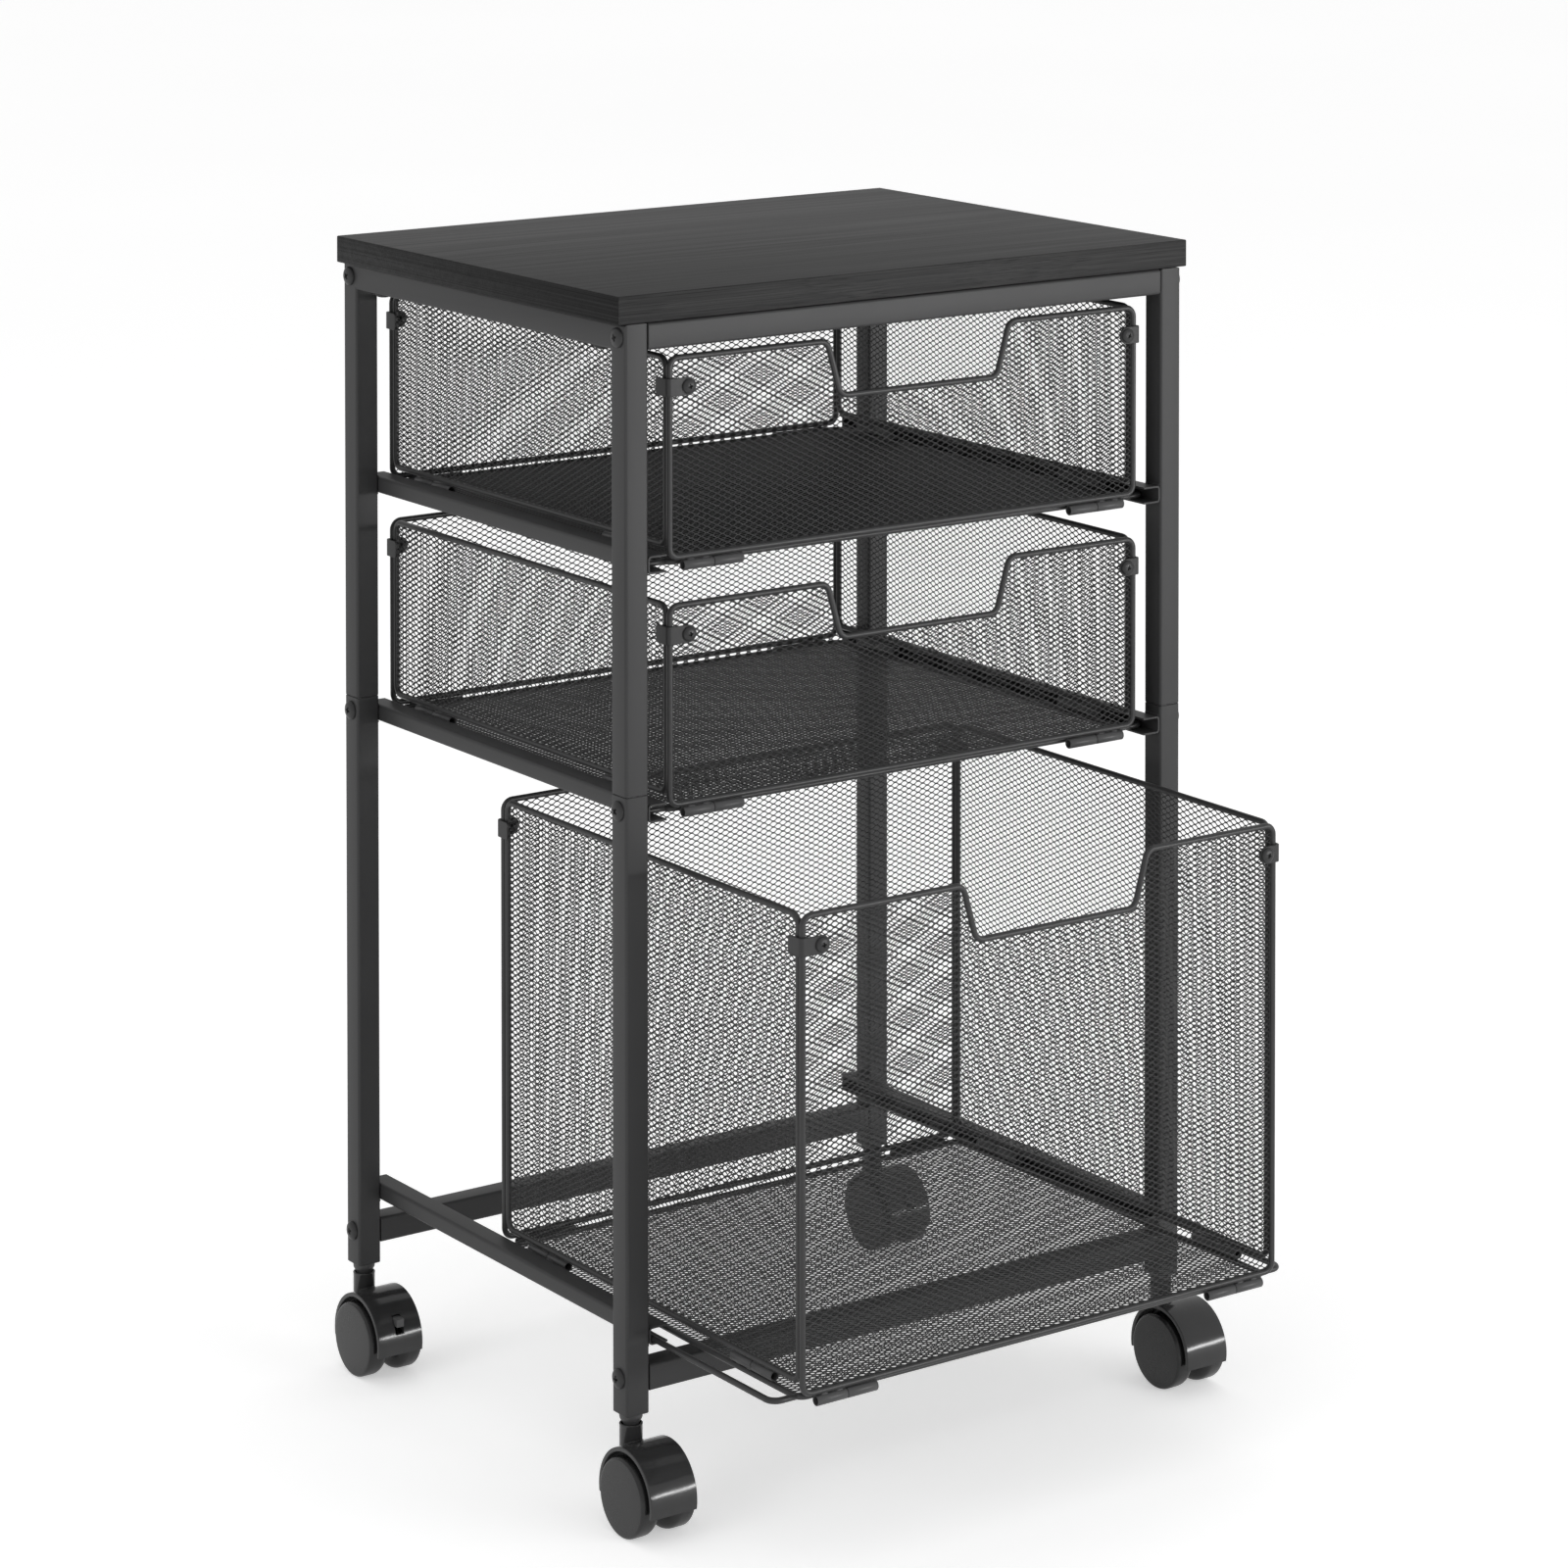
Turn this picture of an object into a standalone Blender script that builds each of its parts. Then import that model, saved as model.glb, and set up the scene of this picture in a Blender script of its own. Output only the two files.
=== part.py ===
"""Mobile printer stand: steel tube frame, laminate top, three slide-out baskets, four casters.

Sizes are in mm and built in metres; +Z is up, -Y is the front. The origin is on the floor, under
the middle of the whole stand with the file basket pulled out, so the frame's middle is a little
behind it. The pieces are placed from the frame's middle, and the stand empty moves them back.
"""

import math
from typing import NamedTuple

import bmesh
import bpy
from mathutils import Matrix, Vector

MM = 0.001
GAP = 0.3              # clearance between touching pieces
CUT_PAST = 5.0         # how far a cutter runs past an open end
CORNER_STEPS = 2       # segments in a rounded corner
SIDES = ((-1, "left"), (1, "right"))
ENDS = ((-1, "front"), (1, "rear"))

# ---------------------------------------------------------------- frame and board (mm)
TUBE = 15.0            # square tube, outside
WALL = 1.2             # square tube wall
HALF_W = 195.5         # frame half width, outside of the posts
HALF_D = 154.8         # frame half depth, outside of the posts
POST_BOTTOM = 60.8
SEAM_Z = 403.3         # where the upper post sits on the lower post
FRAME_TOP = 663.0
FRAME_Y = 61.7         # middle of the frame, behind the origin
CROSS_Z = 72.6         # underside of the bottom cross rails
TOP_RAIL_INSET = 5.0   # top side rail ends, inside the posts' outer faces
TOP_BORE_INSET = 1.0   # top side rail bore ends, inside the posts' outer walls

POST_X = (HALF_W - TUBE, HALF_W)       # right side; the left side is its mirror
POST_Y = {"front": (-HALF_D, -HALF_D + TUBE), "rear": (HALF_D - TUBE, HALF_D)}
POST_MID_X, POST_MID_Y = HALF_W - TUBE / 2, HALF_D - TUBE / 2

BOARD_W, BOARD_D, BOARD_T = 400.0, 310.0, 15.8
BOARD_EDGE = 0.5       # bevel

SPIGOT = 12.0          # joiner inside each post seam
SPIGOT_HALF = 30.0     # its reach above and below the seam
SPIGOT_WALL = 1.0

# ---------------------------------------------------------------- drawer channels (mm)
RAIL_W = 12.0          # across
RAIL_H = 10.0
RAIL_T = 1.0           # flange and rear stop sheet
RAIL_WEB = 1.2         # web's inner face, from the post
RAIL_HALF_Y = 154.5
RAIL_Z = {"upper": 529.6, "middle": 392.4, "lower": 102.8}   # mid heights
RAIL_OVERLAP = 0.4     # welded channel, into the post
STOP_INSET_X = 1.0     # rear stop, from the channel's open edge
STOP_INSET_Z = 0.4     # rear stop, from the channel's top and underside

# ---------------------------------------------------------------- baskets (mm)
# "DZ" values are heights above the channel's mid height
WIRE_R = 1.75
MESH_T = 0.5           # sheet that fills a basket panel
BASKET_HALF_W = 163.5  # front and rear panels, wire centre
SIDE_X = 163.2         # side panels, wire centre
BASKET_D = 302.5       # front wire centre to rear wire centre
FRONT_CLOSED_Y = -149.8
FILE_PULLED = 127.3    # how far the file basket stands open
SIDE_INSET_Y = 3.8     # side panel end wires, inside the front and rear wires
CORNER_R = 8.0
END_BOTTOM_DZ = 1.5    # front and rear panel bottom wire
SIDE_BOTTOM_DZ = 8.0   # side panel bottom wire
TOP_DZ = {"drawer": 111.8, "file": 257.9}

BASE_DZ = -1.95        # base wires
BASE_X = 162.0         # base side wire
BASE_INSET_Y = 5.3     # base end wires, inside the front and rear wires
RUNNER_X = 177.15      # runner wire in the channel
RUNNER_ROOT = 1.0      # runner ends, inside the base side wire
RUNNER_INSET_Y = 3.0   # runner's cross wires, inside the base end wires
RUNNER_CORNER_R = 6.0

NOTCH_TOP = (-57.2, 71.7)              # x of the front panel notch at its mouth
NOTCH_LOW = (-48.0, 62.5)              # and at its bottom
NOTCH_DEPTH = 31.6
NOTCH_R = 7.0

BARREL_R = 2.85
BARREL_L = 39.6
BARREL_SIDES = 8
END_BARREL_DZ = -3.35
END_BARREL_X = 135.2   # middle of an end barrel
SIDE_BARREL_DZ = 3.0
SIDE_BARREL_Y = 47.5   # middle of a side barrel, from the nearer end wire
SIDE_BARREL_X = 162.2
KNUCKLE_GAP = 0.2      # from a barrel's middle to each knuckle
TAB_INSET = 2.0        # tab ends, inside the knuckle's ends
WALL_TAB_HALF = 0.5    # half thickness of a tab on a wall
END_BASE_TAB_DZ = (-1.3, -0.4)         # under and upper face, from the base wires
SIDE_BASE_TAB_DX = (-0.45, 0.55)       # -X and +X face, from the barrel's axis

CLIP_H, CLIP_T = 10.0, 1.2
CLIP_DZ = -15.8        # from the top wire
CLIP_SIDE = 12.0       # leg on the side panel
CLIP_END = {"front_left": 19.0, "front_right": 15.0, "rear_left": 15.0, "rear_right": 15.0}
CLIP_OUTER_R, CLIP_INNER_R = 1.6, 0.4

# ---------------------------------------------------------------- casters (mm)
WHEEL_R = 21.8         # also the axle's height
AXLE_LEAD = 17.0       # axle in front of the stem
WHEEL_IN, WHEEL_OUT = 2.9, 18.0        # wheel faces, from the caster's middle
WHEEL_FACE_T = 1.6     # outer face that closes the bore
AXLE_R, WHEEL_BORE_R = 3.0, 3.3
AXLE_INSET = 2.1       # axle ends, inside the wheels' outer faces
# wheel section: radius, distance out from the caster's middle
WHEEL_PROFILE = (
    (WHEEL_BORE_R, WHEEL_IN),
    (WHEEL_R - 5.5, WHEEL_IN),
    (WHEEL_R - 1.6, WHEEL_IN + 3.0),
    (WHEEL_R, WHEEL_IN + 6.5),
    (WHEEL_R, WHEEL_OUT - 1.4),
    (WHEEL_R - 1.4, WHEEL_OUT),
    (0.0, WHEEL_OUT),
    (0.0, WHEEL_OUT - WHEEL_FACE_T),
    (WHEEL_BORE_R, WHEEL_OUT - WHEEL_FACE_T),
)
WHEEL_STEPS = 20

HOOD_R, HOOD_INNER_R, HOOD_HALF_W = 26.7, 24.2, 15.0
HOOD_FRONT_DEG, HOOD_REAR_DEG = -10.0, 190.0
HOOD_STEPS = 20
WEB_T = 5.0            # plate between the wheels
WEB_INSET_R = 0.9      # web rim, inside the hood's outer face
WEB_INSET_DEG = 4.0    # web ends, inside the hood's ends
WEB_FOOT = ((12, -6), (0, -8), (-12, -9))   # y, z from the axle, rear to front

NECK_R, NECK_LOW, NECK_TOP = 6.4, 31.0, 55.0
WHEEL_ROOM = (2.3, 20.0)               # cut in the neck, out from the caster's middle
WHEEL_ROOM_INSET_R = 0.2               # inside the hood's inner face

STEM_PIN_R, STEM_PIN_BOTTOM = 4.0, 44.8
STEM_PIN_TOP = POST_BOTTOM - 1.0
STEM_BORE_R, STEM_BORE_BOTTOM, STEM_BORE_TOP = 4.35, 43.8, 80.0
COLLAR_R, COLLAR_BOTTOM = 6.2, 56.2
PLUG_HALF = 6.0
PLUG_Z = (POST_BOTTOM - 1.2, POST_BOTTOM + 30)

# brake lever and its slot: y and z spans from the axle
LEVER_HALF_W, LEVER_Y, LEVER_Z = 2.5, (-26.4, -15.5), (11.4, 16.4)
SLOT_HALF_W, SLOT_Y, SLOT_Z = 2.9, (-30, -14), (7.0, 17.4)
LEVER_ORIGIN_Y = -17.5
LEVER_EDGE = 0.6       # bevel

# ---------------------------------------------------------------- scene and collections
for old in list(bpy.data.objects):
    bpy.data.objects.remove(old, do_unlink=True)

PARTS = bpy.data.collections.new("mobile_printer_stand")
TOOLS = bpy.data.collections.new("cutters_and_joined_shapes")
bpy.context.scene.collection.children.link(PARTS)
bpy.context.scene.collection.children.link(TOOLS)
TOOLS.hide_render = True


def material(name, rgb, roughness, metallic):
    mat = bpy.data.materials.new(name)
    mat.use_nodes = True
    shader = mat.node_tree.nodes["Principled BSDF"]
    shader.inputs["Base Color"].default_value = (*rgb, 1.0)
    shader.inputs["Roughness"].default_value = roughness
    shader.inputs["Metallic"].default_value = metallic
    mat.diffuse_color = (*rgb, 1.0)
    return mat


POWDER = material("powder_coated_steel", rgb=(0.070, 0.070, 0.072), roughness=0.55, metallic=0.15)
WIRE = material("coated_wire", rgb=(0.055, 0.056, 0.060), roughness=0.45, metallic=0.2)
LAMINATE = material("black_woodgrain_laminate", rgb=(0.045, 0.045, 0.047), roughness=0.60,
                    metallic=0.0)
CASTER = material("black_caster_plastic", rgb=(0.030, 0.030, 0.032), roughness=0.25, metallic=0.0)
TREAD = material("caster_wheel_plastic", rgb=(0.032, 0.032, 0.034), roughness=0.35, metallic=0.0)
ZINC = material("zinc_plated_steel", rgb=(0.55, 0.55, 0.56), roughness=0.35, metallic=0.9)
LEVER = material("brake_lever_plastic", rgb=(0.12, 0.12, 0.12), roughness=0.4, metallic=0.0)


# ---------------------------------------------------------------- shape helpers
def around(middle, half):
    """The span that reaches half to each side of middle."""
    return middle - half, middle + half


def inset(span, amount):
    """A span shortened at both ends; a negative amount lengthens it."""
    return span[0] + amount, span[1] - amount


def shifted(span, amount):
    return span[0] + amount, span[1] + amount


def place(name, mesh, mat, coll):
    obj = bpy.data.objects.new(name, mesh)
    coll.objects.link(obj)
    mesh.materials.append(mat)
    if coll is TOOLS:
        obj.hide_render = True
        obj.display_type = "WIRE"
    return obj


def smooth(mesh):
    mesh.shade_smooth()
    mesh.set_sharp_from_angle(angle=math.radians(40))


def to_mesh(name, shape):
    mesh = bpy.data.meshes.new(name)
    shape.to_mesh(mesh)
    shape.free()
    return mesh


def close_seams(shape):
    """Merges doubled vertices and turns the faces outward."""
    bmesh.ops.remove_doubles(shape, verts=shape.verts, dist=1e-6)
    bmesh.ops.recalc_face_normals(shape, faces=shape.faces)


def box(name, x_span, y_span, z_span, mat=POWDER, coll=PARTS):
    spans = (x_span, y_span, z_span)
    shape = bmesh.new()
    bmesh.ops.create_cube(shape, size=1.0)
    bmesh.ops.scale(shape, vec=[(high - low) * MM for low, high in spans], verts=shape.verts)
    bmesh.ops.translate(shape, vec=[(high + low) / 2 * MM for low, high in spans],
                        verts=shape.verts)
    return place(name, to_mesh(name, shape), mat, coll)


def helper_box(name, x_span, y_span, z_span):
    return box(name, x_span, y_span, z_span, coll=TOOLS)


def side_box(name, side, x_span, y_span, z_span, coll=TOOLS):
    """A box given for the right side, mirrored in x for the left side."""
    if side < 0:
        x_span = (-x_span[1], -x_span[0])
    return box(name, x_span, y_span, z_span, coll=coll)


def cylinder(name, start, end, radius, sides, mat, coll=TOOLS):
    start, end = Vector(start), Vector(end)
    turn = (end - start).to_track_quat("Z", "Y").to_matrix().to_4x4()
    shape = bmesh.new()
    bmesh.ops.create_cone(shape, cap_ends=True, segments=sides, radius1=radius * MM,
                          radius2=radius * MM, depth=(end - start).length * MM)
    bmesh.ops.transform(shape, matrix=Matrix.Translation((start + end) / 2 * MM) @ turn,
                        verts=shape.verts)
    mesh = to_mesh(name, shape)
    smooth(mesh)
    return place(name, mesh, mat, coll)


def curve_mesh(name, data, matrix, mat, coll):
    """The evaluated curve as a mesh object, with its caps welded on."""
    holder = bpy.data.objects.new(name + "_curve", data)
    bpy.context.scene.collection.objects.link(holder)
    holder.matrix_world = matrix
    bpy.context.view_layer.update()
    graph = bpy.context.evaluated_depsgraph_get()
    mesh = bpy.data.meshes.new_from_object(holder.evaluated_get(graph))
    mesh.transform(matrix)
    bpy.data.objects.remove(holder, do_unlink=True)
    shape = bmesh.new()
    shape.from_mesh(mesh)
    close_seams(shape)
    shape.to_mesh(mesh)
    shape.free()
    mesh.name = name
    mesh.materials.clear()
    smooth(mesh)
    return place(name, mesh, mat, coll)


def add_polyline(data, points, closed):
    spline = data.splines.new("POLY")
    spline.points.add(len(points) - 1)
    for point, at in zip(spline.points, points):
        point.co = (*(c * MM for c in at), 1.0)
    spline.use_cyclic_u = closed


def wire(name, points, closed=True, coll=PARTS):
    """A round wire along 3D points."""
    data = bpy.data.curves.new(name, "CURVE")
    data.dimensions = "3D"
    data.bevel_depth = WIRE_R * MM
    data.bevel_resolution = 2
    data.use_fill_caps = True
    add_polyline(data, points, closed)
    return curve_mesh(name, data, Matrix.Identity(4), WIRE, coll)


def plate(name, points, thickness, matrix, mat, coll=PARTS):
    """A flat plate with an outline in local XY, centred on its plane."""
    data = bpy.data.curves.new(name, "CURVE")
    data.dimensions = "2D"
    data.fill_mode = "BOTH"
    data.extrude = thickness / 2 * MM
    add_polyline(data, [(at[0], at[1], 0.0) for at in points], closed=True)
    return curve_mesh(name, data, matrix, mat, coll)


def filleted(corners, radii):
    """2D or 3D corner points with round corners; radii follow the corners, 0 stays sharp."""
    out = []
    for i, radius in enumerate(radii):
        corner = Vector(corners[i])
        if radius <= 0:
            out.append(tuple(corner))
            continue
        to_last = (Vector(corners[i - 1]) - corner).normalized()
        to_next = (Vector(corners[(i + 1) % len(corners)]) - corner).normalized()
        half = to_last.angle(to_next) / 2
        reach = radius / math.tan(half)
        centre = corner + (to_last + to_next).normalized() * (radius / math.sin(half))
        start = corner + to_last * reach - centre
        end = corner + to_next * reach - centre
        sweep = start.angle(end)
        for k in range(CORNER_STEPS + 1):
            part = k / CORNER_STEPS
            mix = start * math.sin((1 - part) * sweep) + end * math.sin(part * sweep)
            out.append(tuple(centre + mix / math.sin(sweep)))
    return out


def x_plane(x):
    """Takes local X, Y to world Y, Z, at the given x."""
    turn = Matrix(((0, 0, 1, 0), (1, 0, 0, 0), (0, 1, 0, 0), (0, 0, 0, 1)))
    return Matrix.Translation((x * MM, 0, 0)) @ turn


def y_plane(y):
    """Takes local X, Y to world X, Z, at the given y."""
    turn = Matrix(((1, 0, 0, 0), (0, 0, -1, 0), (0, 1, 0, 0), (0, 0, 0, 1)))
    return Matrix.Translation((0, y * MM, 0)) @ turn


def z_plane(z):
    return Matrix.Translation((0, 0, z * MM))


def combine(obj, others, operation):
    for index, other in enumerate(others):
        mod = obj.modifiers.new(f"{operation.lower()}_{index}", "BOOLEAN")
        mod.operation = operation
        mod.solver = "EXACT"
        mod.object = other
    return obj


def weld(obj, *others):
    return combine(obj, others, "UNION")


def cut(obj, *others):
    return combine(obj, others, "DIFFERENCE")


def bevel(obj, width):
    mod = obj.modifiers.new("edge", "BEVEL")
    mod.width = width * MM
    mod.segments = 1
    return obj


def centred(obj, at):
    """Moves an object's origin to a point, and leaves its shape where it is."""
    spot = Vector(at) * MM
    obj.data.transform(Matrix.Translation(-spot))
    obj.location = spot
    return obj


def pivot(name, at, children):
    """An empty on a joint's axis, which carries the pieces that move on it."""
    empty = bpy.data.objects.new(name, None)
    empty.empty_display_size = 0.02
    empty.location = Vector(at) * MM
    PARTS.objects.link(empty)
    bpy.context.view_layer.update()
    for child in children:
        child.parent = empty
        child.matrix_parent_inverse = empty.matrix_world.inverted()


# ---------------------------------------------------------------- board and frame
def top_board():
    low = FRAME_TOP + GAP
    board = box("top_board", around(0, BOARD_W / 2), around(0, BOARD_D / 2),
                (low, low + BOARD_T), LAMINATE)
    bevel(board, BOARD_EDGE)


def post_bores(level, side, word, z_span):
    return [side_box(f"{level}_{end_word}_bore_{word}", side, inset(POST_X, WALL),
                     inset(POST_Y[end_word], WALL), z_span) for _, end_word in ENDS]


def upper_side_frame(side, word):
    """Two upper posts and the top side rail."""
    post_z = (SEAM_Z + GAP / 2, FRAME_TOP)
    rail_z = (FRAME_TOP - TUBE, FRAME_TOP)
    frame = side_box(f"upper_side_frame_{word}", side, POST_X, POST_Y["front"], post_z, PARTS)
    weld(frame,
         side_box(f"upper_rear_post_{word}", side, POST_X, POST_Y["rear"], post_z),
         side_box(f"top_side_rail_{word}", side, POST_X, around(0, HALF_D - TOP_RAIL_INSET),
                  rail_z))
    cut(frame,
        *post_bores("upper", side, word, (SEAM_Z - CUT_PAST, FRAME_TOP - WALL)),
        side_box(f"top_rail_bore_{word}", side, inset(POST_X, WALL),
                 around(0, HALF_D - WALL - TOP_BORE_INSET), inset(rail_z, WALL)))


def welded_channel(level, side, word):
    """The web, flanges and rear stop of a channel on the lower side frame."""
    low, high = around(RAIL_Z[level], RAIL_H / 2)
    post_x = POST_X[0]
    open_x = post_x - RAIL_W
    end_x = post_x + RAIL_OVERLAP
    full_y = around(0, RAIL_HALF_Y)
    pieces = (
        ("web", (post_x - RAIL_WEB, end_x), full_y, (low, high)),
        ("top_flange", (open_x, end_x), full_y, (high - RAIL_T, high)),
        ("low_flange", (open_x, end_x), full_y, (low, low + RAIL_T)),
        ("rear_stop", (open_x + STOP_INSET_X, end_x), (RAIL_HALF_Y - RAIL_T, RAIL_HALF_Y),
         inset((low, high), STOP_INSET_Z)),
    )
    return [side_box(f"{level}_{piece}_{word}", side, *spans) for piece, *spans in pieces]


def lower_side_frame(side, word):
    """Two lower posts, with the middle and lower channels between them."""
    post_z = (POST_BOTTOM, SEAM_Z - GAP / 2)
    frame = side_box(f"lower_side_frame_{word}", side, POST_X, POST_Y["front"], post_z, PARTS)
    weld(frame,
         side_box(f"lower_rear_post_{word}", side, POST_X, POST_Y["rear"], post_z),
         *welded_channel("middle", side, word),
         *welded_channel("lower", side, word))
    cut(frame, *post_bores("lower", side, word, (POST_BOTTOM - CUT_PAST, SEAM_Z + CUT_PAST)))


def upper_drawer_rail(side, word):
    """The upper channel is its own piece, a gap away from the posts."""
    post_x = POST_X[0]
    z_span = around(RAIL_Z["upper"], RAIL_H / 2)
    rail = side_box(f"upper_drawer_rail_{word}", side, (post_x - RAIL_W, post_x - GAP),
                    around(0, RAIL_HALF_Y), z_span, PARTS)
    # the hollow is open at the front and closed by a stop at the rear
    cut(rail, side_box(f"upper_channel_hollow_{word}", side,
                       (post_x - RAIL_W - CUT_PAST, post_x - RAIL_WEB),
                       (-RAIL_HALF_Y - CUT_PAST, RAIL_HALF_Y - RAIL_T), inset(z_span, RAIL_T)))


def post_spigot(side, word, end, end_word):
    """The square joiner tube inside a post's seam."""
    x_span = around(side * POST_MID_X, SPIGOT / 2)
    y_span = around(end * POST_MID_Y, SPIGOT / 2)
    z_span = around(SEAM_Z, SPIGOT_HALF)
    spigot = box(f"post_spigot_{end_word}_{word}", x_span, y_span, z_span, ZINC)
    cut(spigot, helper_box(f"spigot_hollow_{end_word}_{word}", inset(x_span, SPIGOT_WALL),
                           inset(y_span, SPIGOT_WALL), inset(z_span, -CUT_PAST)))


def cross_rail(end_word, level, low):
    x_span = around(0, HALF_W - TUBE - GAP)
    y_span = POST_Y[end_word]
    z_span = (low, low + TUBE)
    rail = box(f"{end_word}_{level}_rail", x_span, y_span, z_span)
    cut(rail, helper_box(f"{end_word}_{level}_rail_bore", inset(x_span, -CUT_PAST),
                         inset(y_span, WALL), inset(z_span, WALL)))


# ---------------------------------------------------------------- casters
def caster_stem(tag, x, y):
    """Square plug in the post, collar under it, pin down into the neck."""
    stem = cylinder(f"caster_stem_{tag}", (x, y, STEM_PIN_BOTTOM), (x, y, STEM_PIN_TOP),
                    STEM_PIN_R, 14, ZINC, PARTS)
    weld(stem,
         cylinder(f"collar_{tag}", (x, y, COLLAR_BOTTOM), (x, y, POST_BOTTOM - GAP),
                  COLLAR_R, 18, CASTER),
         helper_box(f"plug_{tag}", around(x, PLUG_HALF), around(y, PLUG_HALF), PLUG_Z))


def hood_arc(axle_y, radius, start_deg, end_deg):
    """(y, z) points round the axle; 0 degrees is the front and 90 is up."""
    points = []
    for k in range(HOOD_STEPS + 1):
        angle = math.radians(start_deg + (end_deg - start_deg) * k / HOOD_STEPS)
        points.append((axle_y - radius * math.cos(angle), WHEEL_R + radius * math.sin(angle)))
    return points


def caster_neck(tag, x, y, axle_y):
    """The upright round the pin, cut back where the wheels run under it."""
    neck = cylinder(f"neck_{tag}", (x, y, NECK_LOW), (x, y, NECK_TOP), NECK_R, 18, CASTER)
    near, far = WHEEL_ROOM
    return cut(neck, *(cylinder(f"wheel_room_{tag}_{side + 1}",
                                (x + side * near, axle_y, WHEEL_R),
                                (x + side * far, axle_y, WHEEL_R),
                                HOOD_INNER_R - WHEEL_ROOM_INSET_R, 24, CASTER)
                       for side, _ in SIDES))


def caster_hood(tag, x, y, axle_y, braked):
    """Part of a ring over the wheels, with the web, axle and neck."""
    ring = hood_arc(axle_y, HOOD_R, HOOD_FRONT_DEG, HOOD_REAR_DEG)
    ring += hood_arc(axle_y, HOOD_INNER_R, HOOD_REAR_DEG, HOOD_FRONT_DEG)
    hood = plate(f"caster_hood_{tag}", ring, 2 * HOOD_HALF_W, x_plane(x), CASTER)

    web = hood_arc(axle_y, HOOD_R - WEB_INSET_R,
                   HOOD_FRONT_DEG + WEB_INSET_DEG, HOOD_REAR_DEG - WEB_INSET_DEG)
    web += [(axle_y + y_off, WHEEL_R + z_off) for y_off, z_off in WEB_FOOT]
    axle_left, axle_right = around(x, WHEEL_OUT - AXLE_INSET)
    weld(hood,
         plate(f"web_{tag}", web, WEB_T, x_plane(x), CASTER, TOOLS),
         cylinder(f"axle_{tag}", (axle_left, axle_y, WHEEL_R), (axle_right, axle_y, WHEEL_R),
                  AXLE_R, 14, ZINC),
         caster_neck(tag, x, y, axle_y))

    cutters = [cylinder(f"stem_bore_{tag}", (x, y, STEM_BORE_BOTTOM), (x, y, STEM_BORE_TOP),
                        STEM_BORE_R, 14, CASTER)]
    if braked:
        cutters.append(helper_box(f"brake_slot_{tag}", around(x, SLOT_HALF_W),
                                  shifted(SLOT_Y, axle_y), shifted(SLOT_Z, WHEEL_R)))
    cut(hood, *cutters)
    return centred(hood, (x, y, WHEEL_R))


def caster_wheel(tag, x, axle_y, side, word):
    """A turned wheel with a blind bore, its closed face outward."""
    name = f"caster_wheel_{tag}_{word}"
    shape = bmesh.new()
    verts = [shape.verts.new((radius * MM, 0, -out * MM)) for radius, out in WHEEL_PROFILE]
    for start, end in zip(verts, verts[1:] + verts[:1]):
        # an edge along the axis would sweep no surface
        if not (start.co.x == 0 and end.co.x == 0):
            shape.edges.new((start, end))
    bmesh.ops.spin(shape, geom=shape.verts[:] + shape.edges[:], axis=(0, 0, 1), cent=(0, 0, 0),
                   angle=2 * math.pi, steps=WHEEL_STEPS, use_merge=True)
    close_seams(shape)
    mesh = to_mesh(name, shape)
    smooth(mesh)
    wheel = place(name, mesh, TREAD, PARTS)
    turn = Matrix.Rotation(math.radians(-90 * side), 4, "Y")
    wheel.matrix_world = Matrix.Translation((x * MM, axle_y * MM, WHEEL_R * MM)) @ turn
    return wheel


def brake_lever(tag, x, axle_y):
    lever = box(f"brake_lever_{tag}", around(x, LEVER_HALF_W), shifted(LEVER_Y, axle_y),
                shifted(LEVER_Z, WHEEL_R), LEVER)
    bevel(lever, LEVER_EDGE)
    return centred(lever, (x, axle_y + LEVER_ORIGIN_Y, WHEEL_R + sum(LEVER_Z) / 2))


def caster(tag, side, end, braked):
    x, y = side * POST_MID_X, end * POST_MID_Y
    axle_y = y - AXLE_LEAD
    caster_stem(tag, x, y)
    carried = [caster_hood(tag, x, y, axle_y, braked)]
    carried += [caster_wheel(tag, x, axle_y, *wheel_side) for wheel_side in SIDES]
    if braked:
        carried.append(brake_lever(tag, x, axle_y))
    pivot(f"caster_swivel_{tag}", (x, y, WHEEL_R), carried)


# ---------------------------------------------------------------- baskets
class Place(NamedTuple):
    """A basket's name and where its main wires lie."""
    tag: str
    end_y: dict        # front and rear wires
    rail_z: float      # channel's mid height
    top_z: float

    @property
    def base_y(self):
        return inset((self.end_y["front"], self.end_y["rear"]), BASE_INSET_Y)

    @property
    def base_z(self):
        return self.rail_z + BASE_DZ


def knuckle_spans(middle, direction):
    """Half a barrel along the hinge: its start and end, and the span of its tab."""
    start = middle + direction * KNUCKLE_GAP
    end = middle + direction * BARREL_L / 2
    tab = sorted((start + direction * TAB_INSET, end - direction * TAB_INSET))
    return start, end, tab


def knuckle(name, start, end):
    return cylinder(name, start, end, BARREL_R, BARREL_SIDES, WIRE)


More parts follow.
